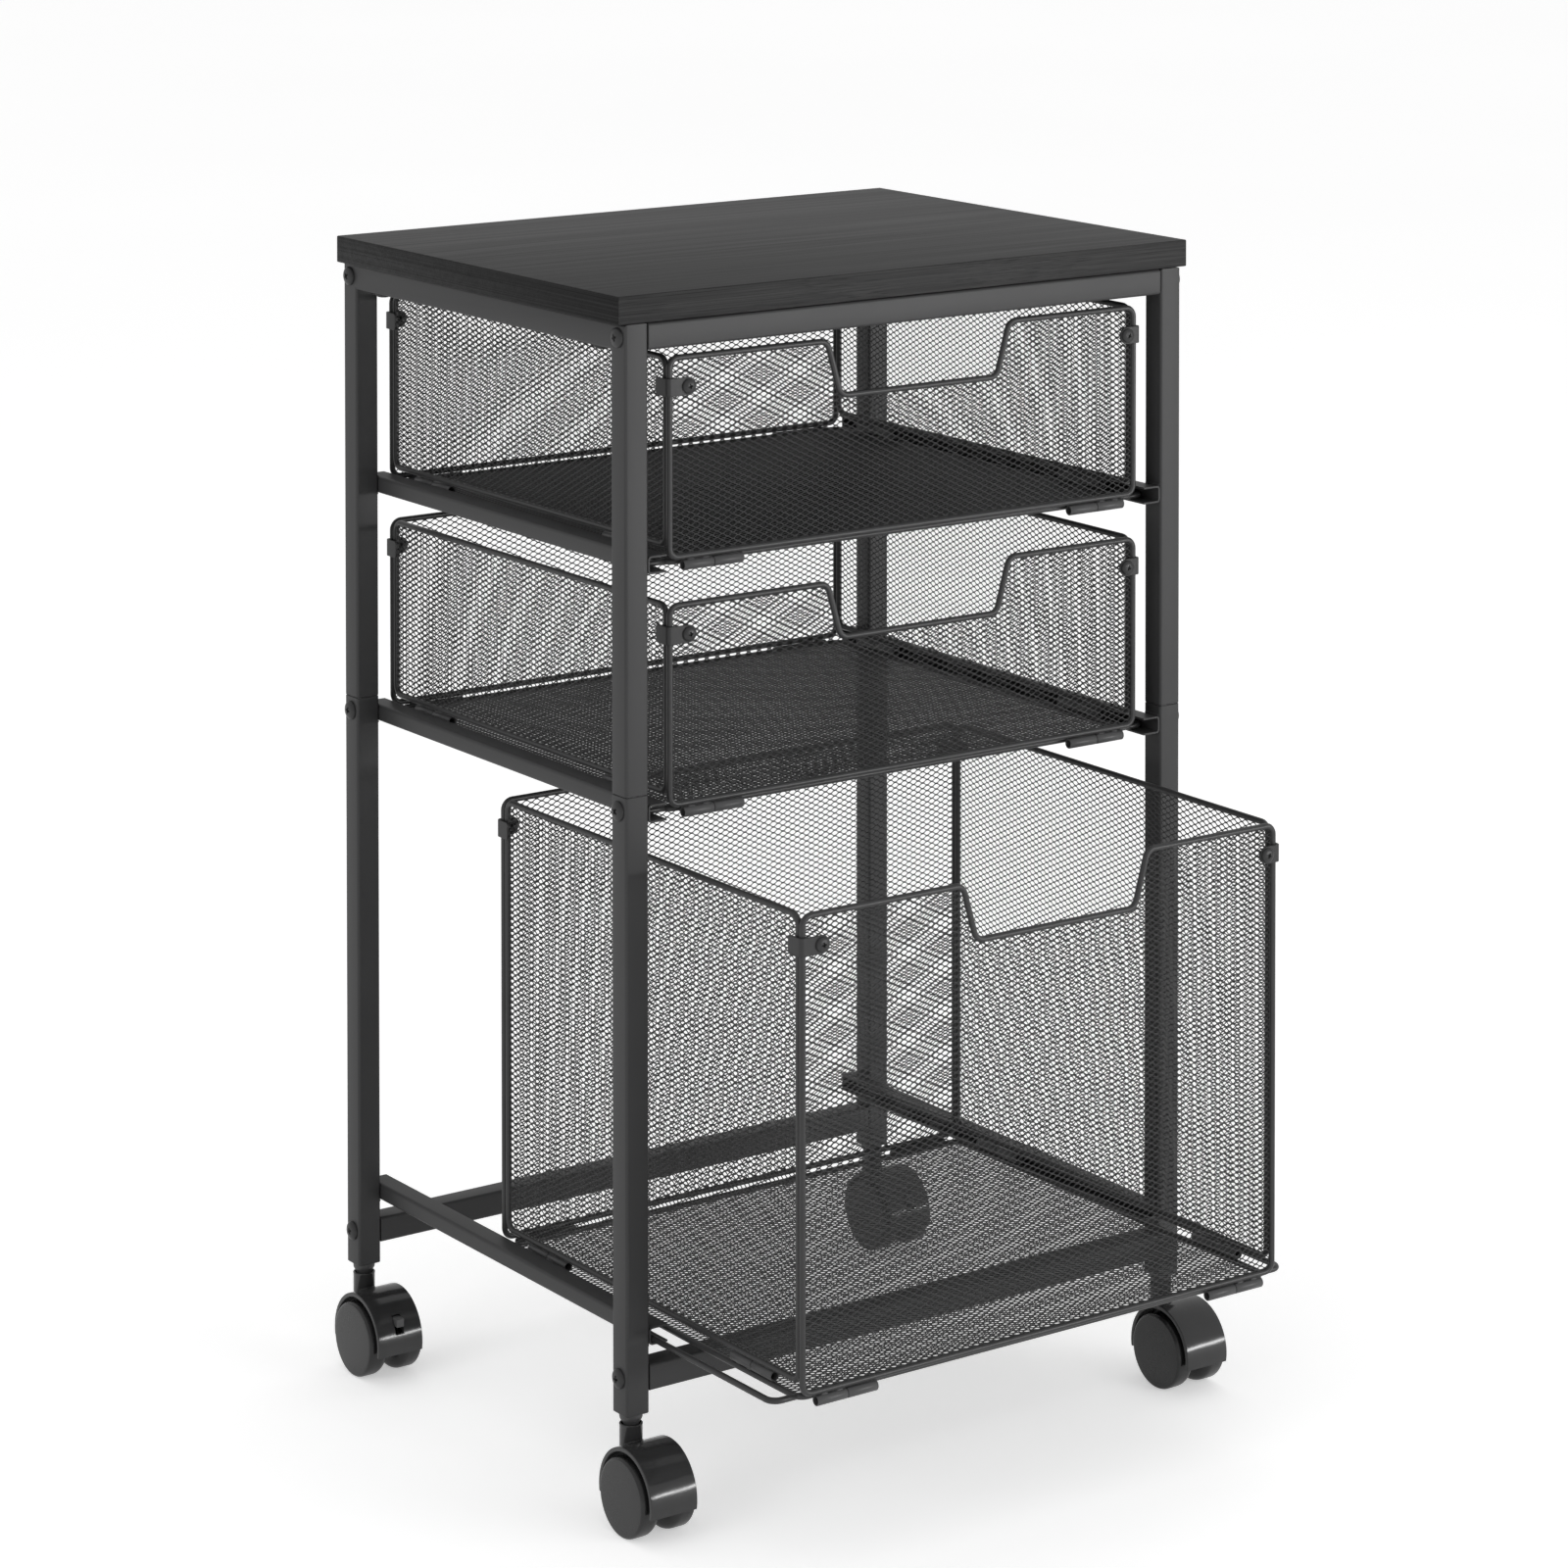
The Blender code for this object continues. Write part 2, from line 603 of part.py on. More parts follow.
# in each barrel the outer half belongs to the wall and the inner half to the base
def end_hinge(at, end, word):
    """Barrels under the front or rear wall: the wall's pieces and the base's pieces."""
    y = at.end_y[word]
    z = at.rail_z + END_BARREL_DZ
    stem = f"{at.tag}_{word}"
    wall, base = [], []
    for side, _ in SIDES:
        start, stop, tab = knuckle_spans(side * END_BARREL_X, side)
        wall += [
            knuckle(f"{stem}_wall_knuckle_{side + 1}", (start, y, z), (stop, y, z)),
            helper_box(f"{stem}_wall_tab_{side + 1}", tab, around(y, WALL_TAB_HALF),
                       (z, at.rail_z + END_BOTTOM_DZ))]
        start, stop, tab = knuckle_spans(side * END_BARREL_X, -side)
        base += [
            knuckle(f"{stem}_base_knuckle_{side + 1}", (start, y, z), (stop, y, z)),
            helper_box(f"{stem}_base_tab_{side + 1}", tab, sorted((y, y - end * BASE_INSET_Y)),
                       shifted(END_BASE_TAB_DZ, at.base_z))]
    return wall, base


def side_hinge(at, side, word):
    """Barrels under a side wall: the wall's pieces and the base's pieces."""
    x = side * SIDE_BARREL_X
    z = at.rail_z + SIDE_BARREL_DZ
    stem = f"{at.tag}_{word}"
    wall, base = [], []
    for end, end_word in ENDS:
        middle = at.end_y[end_word] - end * SIDE_BARREL_Y
        start, stop, tab = knuckle_spans(middle, end)
        wall += [
            knuckle(f"{stem}_wall_knuckle_{end + 1}", (x, start, z), (x, stop, z)),
            helper_box(f"{stem}_wall_tab_{end + 1}", around(x, WALL_TAB_HALF), tab,
                       (z, at.rail_z + SIDE_BOTTOM_DZ))]
        start, stop, tab = knuckle_spans(middle, -end)
        base += [
            knuckle(f"{stem}_base_knuckle_{end + 1}", (x, start, z), (x, stop, z)),
            helper_box(f"{stem}_base_tab_{end + 1}", shifted(SIDE_BASE_TAB_DX, x), tab,
                       (at.base_z, z))]
    return wall, base


def basket_base(at, hinge_pieces):
    """Wire rectangle, sheet floor and a runner loop on each side."""
    z = at.base_z
    front, rear = at.base_y
    corners = [(-BASE_X, front, z), (BASE_X, front, z), (BASE_X, rear, z), (-BASE_X, rear, z)]
    path = filleted(corners, [CORNER_R] * 4)
    base = wire(f"{at.tag}_base", path)
    extra = [plate(f"{at.tag}_floor", path, MESH_T, z_plane(z), WIRE, TOOLS)]
    front, rear = inset(at.base_y, RUNNER_INSET_Y)
    for side, _ in SIDES:
        root_x, run_x = side * (BASE_X - RUNNER_ROOT), side * RUNNER_X
        loop = [(root_x, front, z), (run_x, front, z), (run_x, rear, z), (root_x, rear, z)]
        extra.append(wire(f"{at.tag}_runner_{side + 1}",
                          filleted(loop, [0, RUNNER_CORNER_R, RUNNER_CORNER_R, 0]),
                          closed=False, coll=TOOLS))
    return weld(base, *extra, *hinge_pieces)


def end_wall(at, word, hinge_pieces):
    """Front or rear wall; the front one has a notch in its top edge."""
    y = at.end_y[word]
    low, top = at.rail_z + END_BOTTOM_DZ, at.top_z
    notch, notch_radii = [], []
    if word == "front":
        bottom = top - NOTCH_DEPTH
        notch = [(NOTCH_TOP[1], top), (NOTCH_LOW[1], bottom),
                 (NOTCH_LOW[0], bottom), (NOTCH_TOP[0], top)]
        notch_radii = [NOTCH_R] * 4
    corners = [(-BASKET_HALF_W, low), (BASKET_HALF_W, low), (BASKET_HALF_W, top),
               *notch, (-BASKET_HALF_W, top)]
    path = filleted(corners, [CORNER_R] * 3 + notch_radii + [CORNER_R])
    panel = wire(f"{at.tag}_{word}_panel", [(x, y, z) for x, z in path])
    sheet = plate(f"{at.tag}_{word}_sheet", path, MESH_T, y_plane(y), WIRE, TOOLS)
    return weld(panel, sheet, *hinge_pieces)


def side_wall(at, side, word, hinge_pieces):
    x = side * SIDE_X
    front, rear = inset((at.end_y["front"], at.end_y["rear"]), SIDE_INSET_Y)
    low, top = at.rail_z + SIDE_BOTTOM_DZ, at.top_z
    path = filleted([(front, low), (rear, low), (rear, top), (front, top)], [CORNER_R] * 4)
    panel = wire(f"{at.tag}_{word}_panel", [(x, y, z) for y, z in path])
    sheet = plate(f"{at.tag}_{word}_sheet", path, MESH_T, x_plane(x), WIRE, TOOLS)
    return weld(panel, sheet, *hinge_pieces)


def corner_clip(at, side, end, end_word, corner_word):
    """An L of strip round an upright corner."""
    stand_off = WIRE_R + GAP + CLIP_T
    outer_x = BASKET_HALF_W + stand_off
    outer_y = end * at.end_y[end_word] + stand_off
    run = CLIP_END[corner_word]
    # x, y from the clip's outer corner, as it lies at the rear right
    corners = [(0, 0), (-run, 0), (-run, -CLIP_T), (-CLIP_T, -CLIP_T),
               (-CLIP_T, -CLIP_SIDE), (0, -CLIP_SIDE)]
    path = filleted(corners, [CLIP_OUTER_R, 0, 0, CLIP_INNER_R, 0, 0])
    turned = [(side * (outer_x + x), end * (outer_y + y)) for x, y in path]
    return plate(f"{at.tag}_clip_{corner_word}", turned, CLIP_H, z_plane(at.top_z + CLIP_DZ),
                 POWDER)


def basket(tag, level, kind, opened=0.0):
    front = FRONT_CLOSED_Y - opened
    rail_z = RAIL_Z[level]
    at = Place(tag, {"front": front, "rear": front + BASKET_D}, rail_z, rail_z + TOP_DZ[kind])
    walls, base_pieces = [], []
    for end, word in ENDS:
        wall_half, base_half = end_hinge(at, end, word)
        walls.append(end_wall(at, word, wall_half))
        base_pieces += base_half
    for side, word in SIDES:
        wall_half, base_half = side_hinge(at, side, word)
        walls.append(side_wall(at, side, word, wall_half))
        base_pieces += base_half
    clips = [corner_clip(at, side, end, end_word, f"{end_word}_{side_word}")
             for side, side_word in SIDES for end, end_word in ENDS]
    pivot(f"{tag}_slide", (0, front, rail_z), [basket_base(at, base_pieces), *walls, *clips])


# ---------------------------------------------------------------- the whole stand
top_board()
for side, word in SIDES:
    upper_side_frame(side, word)
    lower_side_frame(side, word)
    upper_drawer_rail(side, word)
    for end, end_word in ENDS:
        post_spigot(side, word, end, end_word)

for end, end_word in ENDS:
    cross_rail(end_word, "top", FRAME_TOP - TUBE)
    cross_rail(end_word, "bottom", CROSS_Z)
    for side, word in SIDES:
        caster(f"{end_word}_{word}", side, end, braked=end_word == "rear")

basket("upper_drawer", "upper", "drawer")
basket("middle_drawer", "middle", "drawer")
basket("file_basket", "lower", "file", opened=FILE_PULLED)

stand = bpy.data.objects.new("stand", None)
stand.empty_display_size = 0.05
stand.location = (0.0, FRAME_Y * MM, 0.0)
PARTS.objects.link(stand)
for obj in [*PARTS.objects, *TOOLS.objects]:
    if obj.parent is None and obj is not stand:
        obj.parent = stand
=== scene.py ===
"""Looks of the mobile printer stand: tube frame, laminate top, expanded-metal baskets and twin-wheel casters."""

import math

import bmesh
import bpy
import numpy as np
from mathutils import Matrix, Vector


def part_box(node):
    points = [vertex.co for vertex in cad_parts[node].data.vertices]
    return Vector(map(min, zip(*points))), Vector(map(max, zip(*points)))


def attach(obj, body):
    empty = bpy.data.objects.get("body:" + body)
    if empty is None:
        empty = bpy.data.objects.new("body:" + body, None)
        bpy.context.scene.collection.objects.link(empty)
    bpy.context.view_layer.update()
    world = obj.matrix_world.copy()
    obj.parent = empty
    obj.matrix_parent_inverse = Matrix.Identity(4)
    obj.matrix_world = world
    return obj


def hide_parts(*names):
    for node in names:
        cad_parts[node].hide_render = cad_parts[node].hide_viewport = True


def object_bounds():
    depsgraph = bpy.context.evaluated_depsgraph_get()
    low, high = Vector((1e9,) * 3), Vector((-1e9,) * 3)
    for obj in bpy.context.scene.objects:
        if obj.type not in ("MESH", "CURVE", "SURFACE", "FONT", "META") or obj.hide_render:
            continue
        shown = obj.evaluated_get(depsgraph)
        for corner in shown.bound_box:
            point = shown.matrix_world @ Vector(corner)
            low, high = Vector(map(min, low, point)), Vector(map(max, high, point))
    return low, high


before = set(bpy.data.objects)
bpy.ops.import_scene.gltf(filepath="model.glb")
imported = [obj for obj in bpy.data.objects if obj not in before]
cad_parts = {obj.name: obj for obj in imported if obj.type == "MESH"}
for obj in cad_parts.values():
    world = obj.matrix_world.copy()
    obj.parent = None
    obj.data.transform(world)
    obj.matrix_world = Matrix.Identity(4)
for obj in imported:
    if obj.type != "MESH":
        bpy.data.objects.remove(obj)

MM = 0.001
scene = bpy.context.scene
cad_low, cad_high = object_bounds()


def box_mm(node):
    low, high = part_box(node)
    return np.array(low) / MM, np.array(high) / MM


# ============================================================ materials
class Nodes:
    """A short way to wire a node tree."""

    def __init__(self, name):
        self.mat = bpy.data.materials.new(name)
        self.mat.use_nodes = True
        self.tree = self.mat.node_tree
        self.bsdf = self.tree.nodes["Principled BSDF"]
        self.coords = self.tree.nodes.new("ShaderNodeTexCoord")

    def new(self, kind, **values):
        node = self.tree.nodes.new(kind)
        for key, value in values.items():
            if key in node.inputs:
                node.inputs[key].default_value = value
            else:
                setattr(node, key, value)
        return node

    def link(self, out, into):
        self.tree.links.new(out, into)

    def noise(self, scale, detail=3.0, stretch=(1, 1, 1), rough=0.55, offset=(0, 0, 0)):
        mapping = self.new("ShaderNodeMapping")
        mapping.inputs["Scale"].default_value = stretch
        mapping.inputs["Location"].default_value = offset
        self.link(self.coords.outputs["Object"], mapping.inputs["Vector"])
        noise = self.new("ShaderNodeTexNoise")
        noise.inputs["Scale"].default_value = scale
        noise.inputs["Detail"].default_value = detail
        noise.inputs["Roughness"].default_value = rough
        self.link(mapping.outputs["Vector"], noise.inputs["Vector"])
        return noise.outputs["Fac"]

    def ramp(self, fac, stops):
        ramp = self.new("ShaderNodeValToRGB")
        elements = ramp.color_ramp.elements
        while len(elements) < len(stops):
            elements.new(0.5)
        for element, (at, colour) in zip(elements, stops):
            element.position = at
            element.color = (*colour, 1.0) if len(colour) == 3 else colour
        self.link(fac, ramp.inputs["Fac"])
        return ramp.outputs["Color"]

    def spread(self, fac, low, high, from_low=0.3, from_high=0.7):
        node = self.new("ShaderNodeMapRange")
        node.inputs["From Min"].default_value = from_low
        node.inputs["From Max"].default_value = from_high
        node.inputs["To Min"].default_value = low
        node.inputs["To Max"].default_value = high
        self.link(fac, node.inputs["Value"])
        return node.outputs["Result"]

    def math(self, kind, a, b):
        node = self.new("ShaderNodeMath")
        node.operation = kind
        for slot, value in zip(node.inputs, (a, b)):
            if isinstance(value, (int, float)):
                slot.default_value = value
            else:
                self.link(value, slot)
        return node.outputs["Value"]

    def mix(self, fac, a, b, kind="MIX"):
        node = self.new("ShaderNodeMix")
        node.data_type = "RGBA"
        node.blend_type = kind
        for slot, value in ((node.inputs["Factor"], fac), (node.inputs["A"], a), (node.inputs["B"], b)):
            if isinstance(value, (int, float)):
                slot.default_value = value
            elif isinstance(value, tuple):
                slot.default_value = (*value, 1.0)
            else:
                self.link(value, slot)
        # the colour sockets of a Mix node share their names with the float ones
        rgba = [s for s in node.inputs if s.type == "RGBA"]
        for slot, value in zip(rgba, (a, b)):
            if isinstance(value, tuple):
                slot.default_value = (*value, 1.0)
            elif not isinstance(value, (int, float)):
                self.link(value, slot)
        return [s for s in node.outputs if s.type == "RGBA"][0]

    def bump(self, height, distance, strength=1.0, after=None):
        node = self.new("ShaderNodeBump")
        node.inputs["Distance"].default_value = distance
        node.inputs["Strength"].default_value = strength
        self.link(height, node.inputs["Height"])
        if after is not None:
            self.link(after, node.inputs["Normal"])
        return node.outputs["Normal"]

    def done(self, colour=None, roughness=None, normal=None, **values):
        for key, out in (("Base Color", colour), ("Roughness", roughness), ("Normal", normal)):
            if out is None:
                continue
            if isinstance(out, (int, float)):
                self.bsdf.inputs[key].default_value = out
            elif isinstance(out, tuple):
                self.bsdf.inputs[key].default_value = (*out, 1.0)
            else:
                self.link(out, self.bsdf.inputs[key])
        for key, value in values.items():
            self.bsdf.inputs[key.replace("_", " ")].default_value = value
        return self.mat


def grey(value, tint=(1.0, 1.0, 1.015)):
    return tuple(value * t for t in tint)


def coated_steel(name, level, roughness, grain=0.00003, worn=0.0):
    """Baked powder coat: an even dark grey with a fine orange peel and slight clouding."""
    n = Nodes(name)
    cloud = n.noise(9.0, 4.0)
    speck = n.noise(1900.0, 2.0, offset=(3.1, 0.7, 5.2))
    base = n.ramp(cloud, [(0.30, grey(level * 0.90)), (0.72, grey(level * 1.10))])
    base = n.mix(n.spread(speck, 0.0, 0.30, 0.45, 0.80), base, grey(level * 1.55))
    rough = n.math("ADD", n.spread(cloud, roughness - 0.035, roughness + 0.035), n.spread(speck, -0.03, 0.03))
    peel = n.noise(650.0, 2.0, offset=(0.4, 2.2, 1.3))
    normal = n.bump(speck, grain * 0.5, 0.5, n.bump(peel, grain, 0.55))
    return n.done(base, rough, normal, Metallic=0.0, Specular_IOR_Level=0.28)


def coated_mesh(name, level, roughness):
    """Dipped coat on thin strands: colour and gloss drift a little from place to place."""
    n = Nodes(name)
    cloud = n.noise(42.0, 3.0)
    base = n.ramp(cloud, [(0.28, grey(level * 0.85)), (0.75, grey(level * 1.18))])
    speck = n.noise(1400.0, 2.0, offset=(1.1, 0.3, 2.7))
    return n.done(base, n.spread(cloud, roughness - 0.05, roughness + 0.05), n.bump(speck, 0.00001, 0.4), Metallic=0.0,
                  Specular_IOR_Level=0.40)


def laminate(name, level):
    """Black wood-grain melamine with the grain along X: long streaks, broken pores and a matt sheen."""
    n = Nodes(name)
    # slow waves carry the grain lines off straight
    wave = n.noise(2.2, 2.0, stretch=(1.6, 9.0, 9.0))
    mapping = n.new("ShaderNodeMapping")
    n.link(n.coords.outputs["Object"], mapping.inputs["Vector"])
    shift = n.new("ShaderNodeCombineXYZ")
    n.link(n.spread(wave, -0.004, 0.004), shift.inputs["Y"])
    n.link(n.spread(wave, -0.00025, 0.00025), shift.inputs["Z"])
    add = n.new("ShaderNodeVectorMath")
    add.operation = "ADD"
    n.link(mapping.outputs["Vector"], add.inputs[0])
    n.link(shift.outputs["Vector"], add.inputs[1])

    def streaks(scale, stretch, detail, offset):
        m = n.new("ShaderNodeMapping")
        m.inputs["Scale"].default_value = stretch
        m.inputs["Location"].default_value = offset
        n.link(add.outputs["Vector"], m.inputs["Vector"])
        noise = n.new("ShaderNodeTexNoise")
        noise.inputs["Scale"].default_value = scale
        noise.inputs["Detail"].default_value = detail
        noise.inputs["Roughness"].default_value = 0.6
        n.link(m.outputs["Vector"], noise.inputs["Vector"])
        return noise.outputs["Fac"]

    broad = streaks(1.0, (2.5, 150.0, 230.0), 2.0, (0.3, 4.0, 1.0))
    fine = streaks(1.0, (3.0, 900.0, 1300.0), 2.0, (7.0, 2.0, 3.0))
    pores = streaks(1.0, (9.0, 1500.0, 1600.0), 2.0, (1.0, 8.0, 6.0))
    base = n.ramp(broad, [(0.30, grey(level * 0.86, (1, 1, 1.02))), (0.55, grey(level, (1, 1, 1.01))), (0.76, grey(level * 1.14, (1.01, 1, 1)))])
    base = n.mix(n.spread(fine, 0.0, 0.70, 0.42, 0.62), base, grey(level * 2.1, (1.01, 1.0, 0.99)))
    base = n.mix(n.spread(pores, 0.0, 0.85, 0.55, 0.68), base, grey(level * 0.25))
    # painted shade: the two short edges, picked out by their normal along X, are painted far darker than the faces to
    # stand in for the shade on the board's sides; the streaks in them follow the grain
    facing = n.new("ShaderNodeSeparateXYZ")
    n.link(n.coords.outputs["Normal"], facing.inputs["Vector"])
    short = n.math("ABSOLUTE", facing.outputs["X"], 0.0)
    lines = n.noise(1.0, 2.0, stretch=(60.0, 3.0, 1300.0), offset=(2.0, 1.0, 4.0))
    band = n.ramp(lines, [(0.38, grey(level * 0.08)), (0.62, grey(level * 0.70))])
    base = n.mix(n.spread(short, 0.0, 1.0, 0.6, 0.95), base, band)
    rough = n.math("ADD", n.spread(fine, 0.44, 0.56), n.spread(broad, -0.04, 0.04))
    normal = n.bump(pores, 0.00009, -0.7, n.bump(fine, 0.00008, 0.7))
    return n.done(base, rough, normal, Specular_IOR_Level=0.16)


def moulded(name, level, roughness, coat=0.0, flow=0.02):
    """Injection-moulded plastic: near black and glossy, with faint flow marks and dust-fine haze."""
    n = Nodes(name)
    swirl = n.noise(38.0, 3.0)
    haze = n.noise(900.0, 2.0, offset=(2.0, 5.0, 1.0))
    base = n.ramp(swirl, [(0.3, grey(level * 0.9)), (0.7, grey(level * 1.1))])
    rough = n.math("ADD", n.spread(swirl, roughness - flow, roughness + flow), n.spread(haze, -0.012, 0.02))
    normal = n.bump(swirl, 0.00006, 0.25)
    return n.done(base, rough, normal, Coat_Weight=coat, Coat_Roughness=0.08, Specular_IOR_Level=0.5)


def plated(name):
    """Zinc plate: pale metal with a fine crystalline mottle."""
    n = Nodes(name)
    cell = n.noise(420.0, 3.0)
    base = n.ramp(cell, [(0.3, (0.46, 0.47, 0.49)), (0.7, (0.60, 0.61, 0.62))])
    return n.done(base, n.spread(cell, 0.28, 0.44), n.bump(cell, 0.00002, 0.4), Metallic=1.0)


STEEL = coated_steel("powder_coat", 0.036, 0.42)
STEEL_LOW = coated_steel("powder_coat_channel", 0.036, 0.45)
CLIP = coated_steel("powder_coat_clip", 0.030, 0.38, 0.00002)
SCREW = coated_steel("black_screw", 0.028, 0.33, 0.000015)
WIRE = coated_mesh("coated_wire", 0.030, 0.34)
MESH = coated_mesh("coated_expanded_mesh", 0.034, 0.38)
# painted highlight: the barrels carry the same dark coat as the wires, painted about twice as light to stand in for the
# light they catch
BARREL_PAINTED_HIGHLIGHT = coated_steel("coated_barrel_painted_highlight", 0.062, 0.34, 0.00002)
BOARD = laminate("black_woodgrain", 0.020)
HOOD = moulded("caster_gloss", 0.028, 0.15)
WHEEL = moulded("caster_wheel_gloss", 0.012, 0.26)
COLLAR = moulded("caster_collar", 0.044, 0.38)
LEVER = moulded("brake_lever_grey", 0.060, 0.34)
ZINC = plated("zinc_plate")


# ============================================================ mesh helpers (all lengths in mm)
def finish_piece(name, mesh, mat, body, replaces=(), angle=32, weld=True):
    if weld:
        bm = bmesh.new()
        bm.from_mesh(mesh)
        bmesh.ops.remove_doubles(bm, verts=bm.verts, dist=1e-7)
        bmesh.ops.recalc_face_normals(bm, faces=bm.faces)
        bm.to_mesh(mesh)
        bm.free()
    mesh.materials.clear()
    mesh.materials.append(mat)
    mesh.shade_smooth()
    if angle:
        mesh.set_sharp_from_angle(angle=math.radians(angle))
    obj = bpy.data.objects.new(name, mesh)
    scene.collection.objects.link(obj)
    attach(obj, body)
    if replaces:
        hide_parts(*replaces)
    return obj


class Shape:
    """Vertices and faces in mm, gathered from several closed forms."""

    def __init__(self):
        self.verts, self.faces = [], []

    def add(self, verts, faces):
        start = len(self.verts)
        self.verts += [tuple(v) for v in verts]
        self.faces += [tuple(start + i for i in f) for f in faces]
        return self

    def mesh(self, name):
        mesh = bpy.data.meshes.new(name)
        mesh.from_pydata([tuple(c * MM for c in v) for v in self.verts], [], self.faces)
        mesh.update()
        return mesh

    def piece(self, name, mat, body, slot, replaces=(), angle=32):
        return finish_piece(name, self.mesh(name), mat, body, replaces, angle)


def filleted(corners, radii, steps=7, closed=True):
    out = []
    count = len(corners)
    for i, corner in enumerate(corners):
        p = Vector(corner)
        radius = radii[i]
        if radius <= 0 or (not closed and i in (0, count - 1)):
            out.append(tuple(p))
            continue
        to_a = (Vector(corners[i - 1]) - p).normalized()
        to_b = (Vector(corners[(i + 1) % count]) - p).normalized()
        half = to_a.angle(to_b) / 2
        reach = radius / math.tan(half)
        centre = p + (to_a + to_b).normalized() * (radius / math.sin(half))
        start, end = p + to_a * reach - centre, p + to_b * reach - centre
        sweep = start.angle(end)
        for k in range(steps + 1):
            t = k / steps
            out.append(tuple(centre + (start * math.sin((1 - t) * sweep) + end * math.sin(t * sweep)) / math.sin(sweep)))
    return out


def circle(radius, sides):
    return [(radius * math.cos(2 * math.pi * k / sides), radius * math.sin(2 * math.pi * k / sides)) for k in range(sides)]


def rounded_square(half, radius, steps=5):
    corners = [(-half, -half), (half, -half), (half, half), (-half, half)]
    return [p[:2] for p in filleted([(*c, 0) for c in corners], [max(radius, 0.05)] * 4, steps)]


def stations(points, normal, closed):
    """For each path point: (point, unit normal, side vector lengthened for the mitre)."""
    pts = [Vector(p) for p in points]
    n = Vector(normal).normalized()
    count = len(pts)
    out = []
    for i, p in enumerate(pts):
        before = pts[i - 1] if closed or i > 0 else None
        after = pts[(i + 1) % count] if closed or i < count - 1 else None
        t0 = (p - before).normalized() if before is not None else (after - p).normalized()
        t1 = (after - p).normalized() if after is not None else t0
        t = (t0 + t1).normalized()
        out.append((p, n, n.cross(t) / max(t.dot(t1), 0.2)))
    return out


def sweep(shape, points, normal, section, closed=False, caps=True):
    """A section (p along the normal, q across) carried along a path that lies in one plane."""
    verts, faces = [], []
    rings = stations(points, normal, closed)
    m = len(section(0) if callable(section) else section)
    for i, (p, n, b) in enumerate(rings):
        for u, v in (section(i) if callable(section) else section):
            verts.append(p + n * u + b * v)
    last = len(rings) if closed else len(rings) - 1
    for i in range(last):
        a, c = i * m, ((i + 1) % len(rings)) * m
        for k in range(m):
            k2 = (k + 1) % m
            faces.append((a + k, a + k2, c + k2, c + k))
    if not closed and caps:
        faces.append(tuple(range(m - 1, -1, -1)))
        faces.append(tuple((len(rings) - 1) * m + k for k in range(m)))
    return shape.add(verts, faces)


def hollow_sweep(shape, points, normal, outer, inner):
    """A tube of outer and inner section with the same number of points, and open ends."""
    rings = stations(points, normal, False)
    m = len(outer(0))
    verts, faces = [], []
    for i, (p, n, b) in enumerate(rings):
        verts += [p + n * u + b * v for u, v in outer(i)]
        verts += [p + n * u + b * v for u, v in inner(i)]
    for i in range(len(rings) - 1):
        a, c = i * 2 * m, (i + 1) * 2 * m
        for k in range(m):
            k2 = (k + 1) % m
            faces.append((a + k, a + k2, c + k2, c + k))
            faces.append((a + m + k2, a + m + k, c + m + k, c + m + k2))
    z = (len(rings) - 1) * 2 * m
    for k in range(m):
        k2 = (k + 1) % m
        faces.append((k2, k, m + k, m + k2))
        faces.append((z + k, z + k2, z + m + k2, z + m + k))
    return shape.add(verts, faces)


TUBE, WALL = 15.0, 1.2
EDGE = 0.28


def square_tube(shape, corners, normal):
    """A square tube along a path, corners 1.7 mm round outside, ends eased by a light chamfer."""
    pts = [Vector(c) for c in corners]
    first, last = (pts[1] - pts[0]).normalized(), (pts[-2] - pts[-1]).normalized()
    path = [pts[0], pts[0] + first * EDGE] + pts[1:-1] + [pts[-1] + last * EDGE, pts[-1]]
    ends = (0, len(path) - 1)

    def outer(i):
        inset = EDGE if i in ends else 0.0
        return rounded_square(TUBE / 2 - inset, 1.7 - inset)

    def inner(i):
        return rounded_square(TUBE / 2 - WALL, 0.6)

    return hollow_sweep(shape, path, normal, outer, inner)


def wire(shape, points, radius, normal, closed, sides=14):
    if closed:
        return sweep(shape, points, normal, circle(radius, sides), True)
    # rounded wire ends
    pts = [Vector(p) for p in points]
    first, last = (pts[1] - pts[0]).normalized(), (pts[-2] - pts[-1]).normalized()
    path = [pts[0], pts[0] + first * radius * 0.3] + pts[1:-1] + [pts[-1] + last * radius * 0.3, pts[-1]]
    return sweep(shape, path, normal, lambda i: circle(radius * (0.72 if i in (0, len(path) - 1) else 1.0), sides))


def turned(shape, profile, centre, axis, segments=40, start=0.0, stop=360.0):
    """profile: (radius, height) points, first and last on the axis or the profile closed by itself. Full or part turn."""
    axis = Vector(axis).normalized()
    seed = Vector((0, 0, 1)) if abs(axis.z) < 0.9 else Vector((1, 0, 0))
    a = seed.cross(axis).normalized()
    b = axis.cross(a)
    centre = Vector(centre)
    full = stop - start >= 360
    steps = segments if full else segments + 1
    loop = profile[0][0] > 1e-6 or profile[-1][0] > 1e-6
    m = len(profile)
    verts, faces = [], []
    for s in range(steps):
        ang = math.radians(start + (stop - start) * s / segments)
        d = a * math.cos(ang) + b * math.sin(ang)
        verts += [centre + axis * h + d * r for r, h in profile]
    spans = m if loop else m - 1
    for s in range(segments):
        p, q = s * m, ((s + 1) % steps) * m
        for k in range(spans):
            k2 = (k + 1) % m
            corner = [p + k, p + k2, q + k2, q + k]
            if profile[k][0] < 1e-6:
                corner = [p + k, p + k2, q + k2]
            elif profile[k2][0] < 1e-6:
                corner = [p + k, p + k2, q + k]
            faces.append(tuple(corner))
    if not full:
        faces.append(tuple(range(m)))
        faces.append(tuple((steps - 1) * m + k for k in range(m - 1, -1, -1)))
    return shape.add(verts, faces)


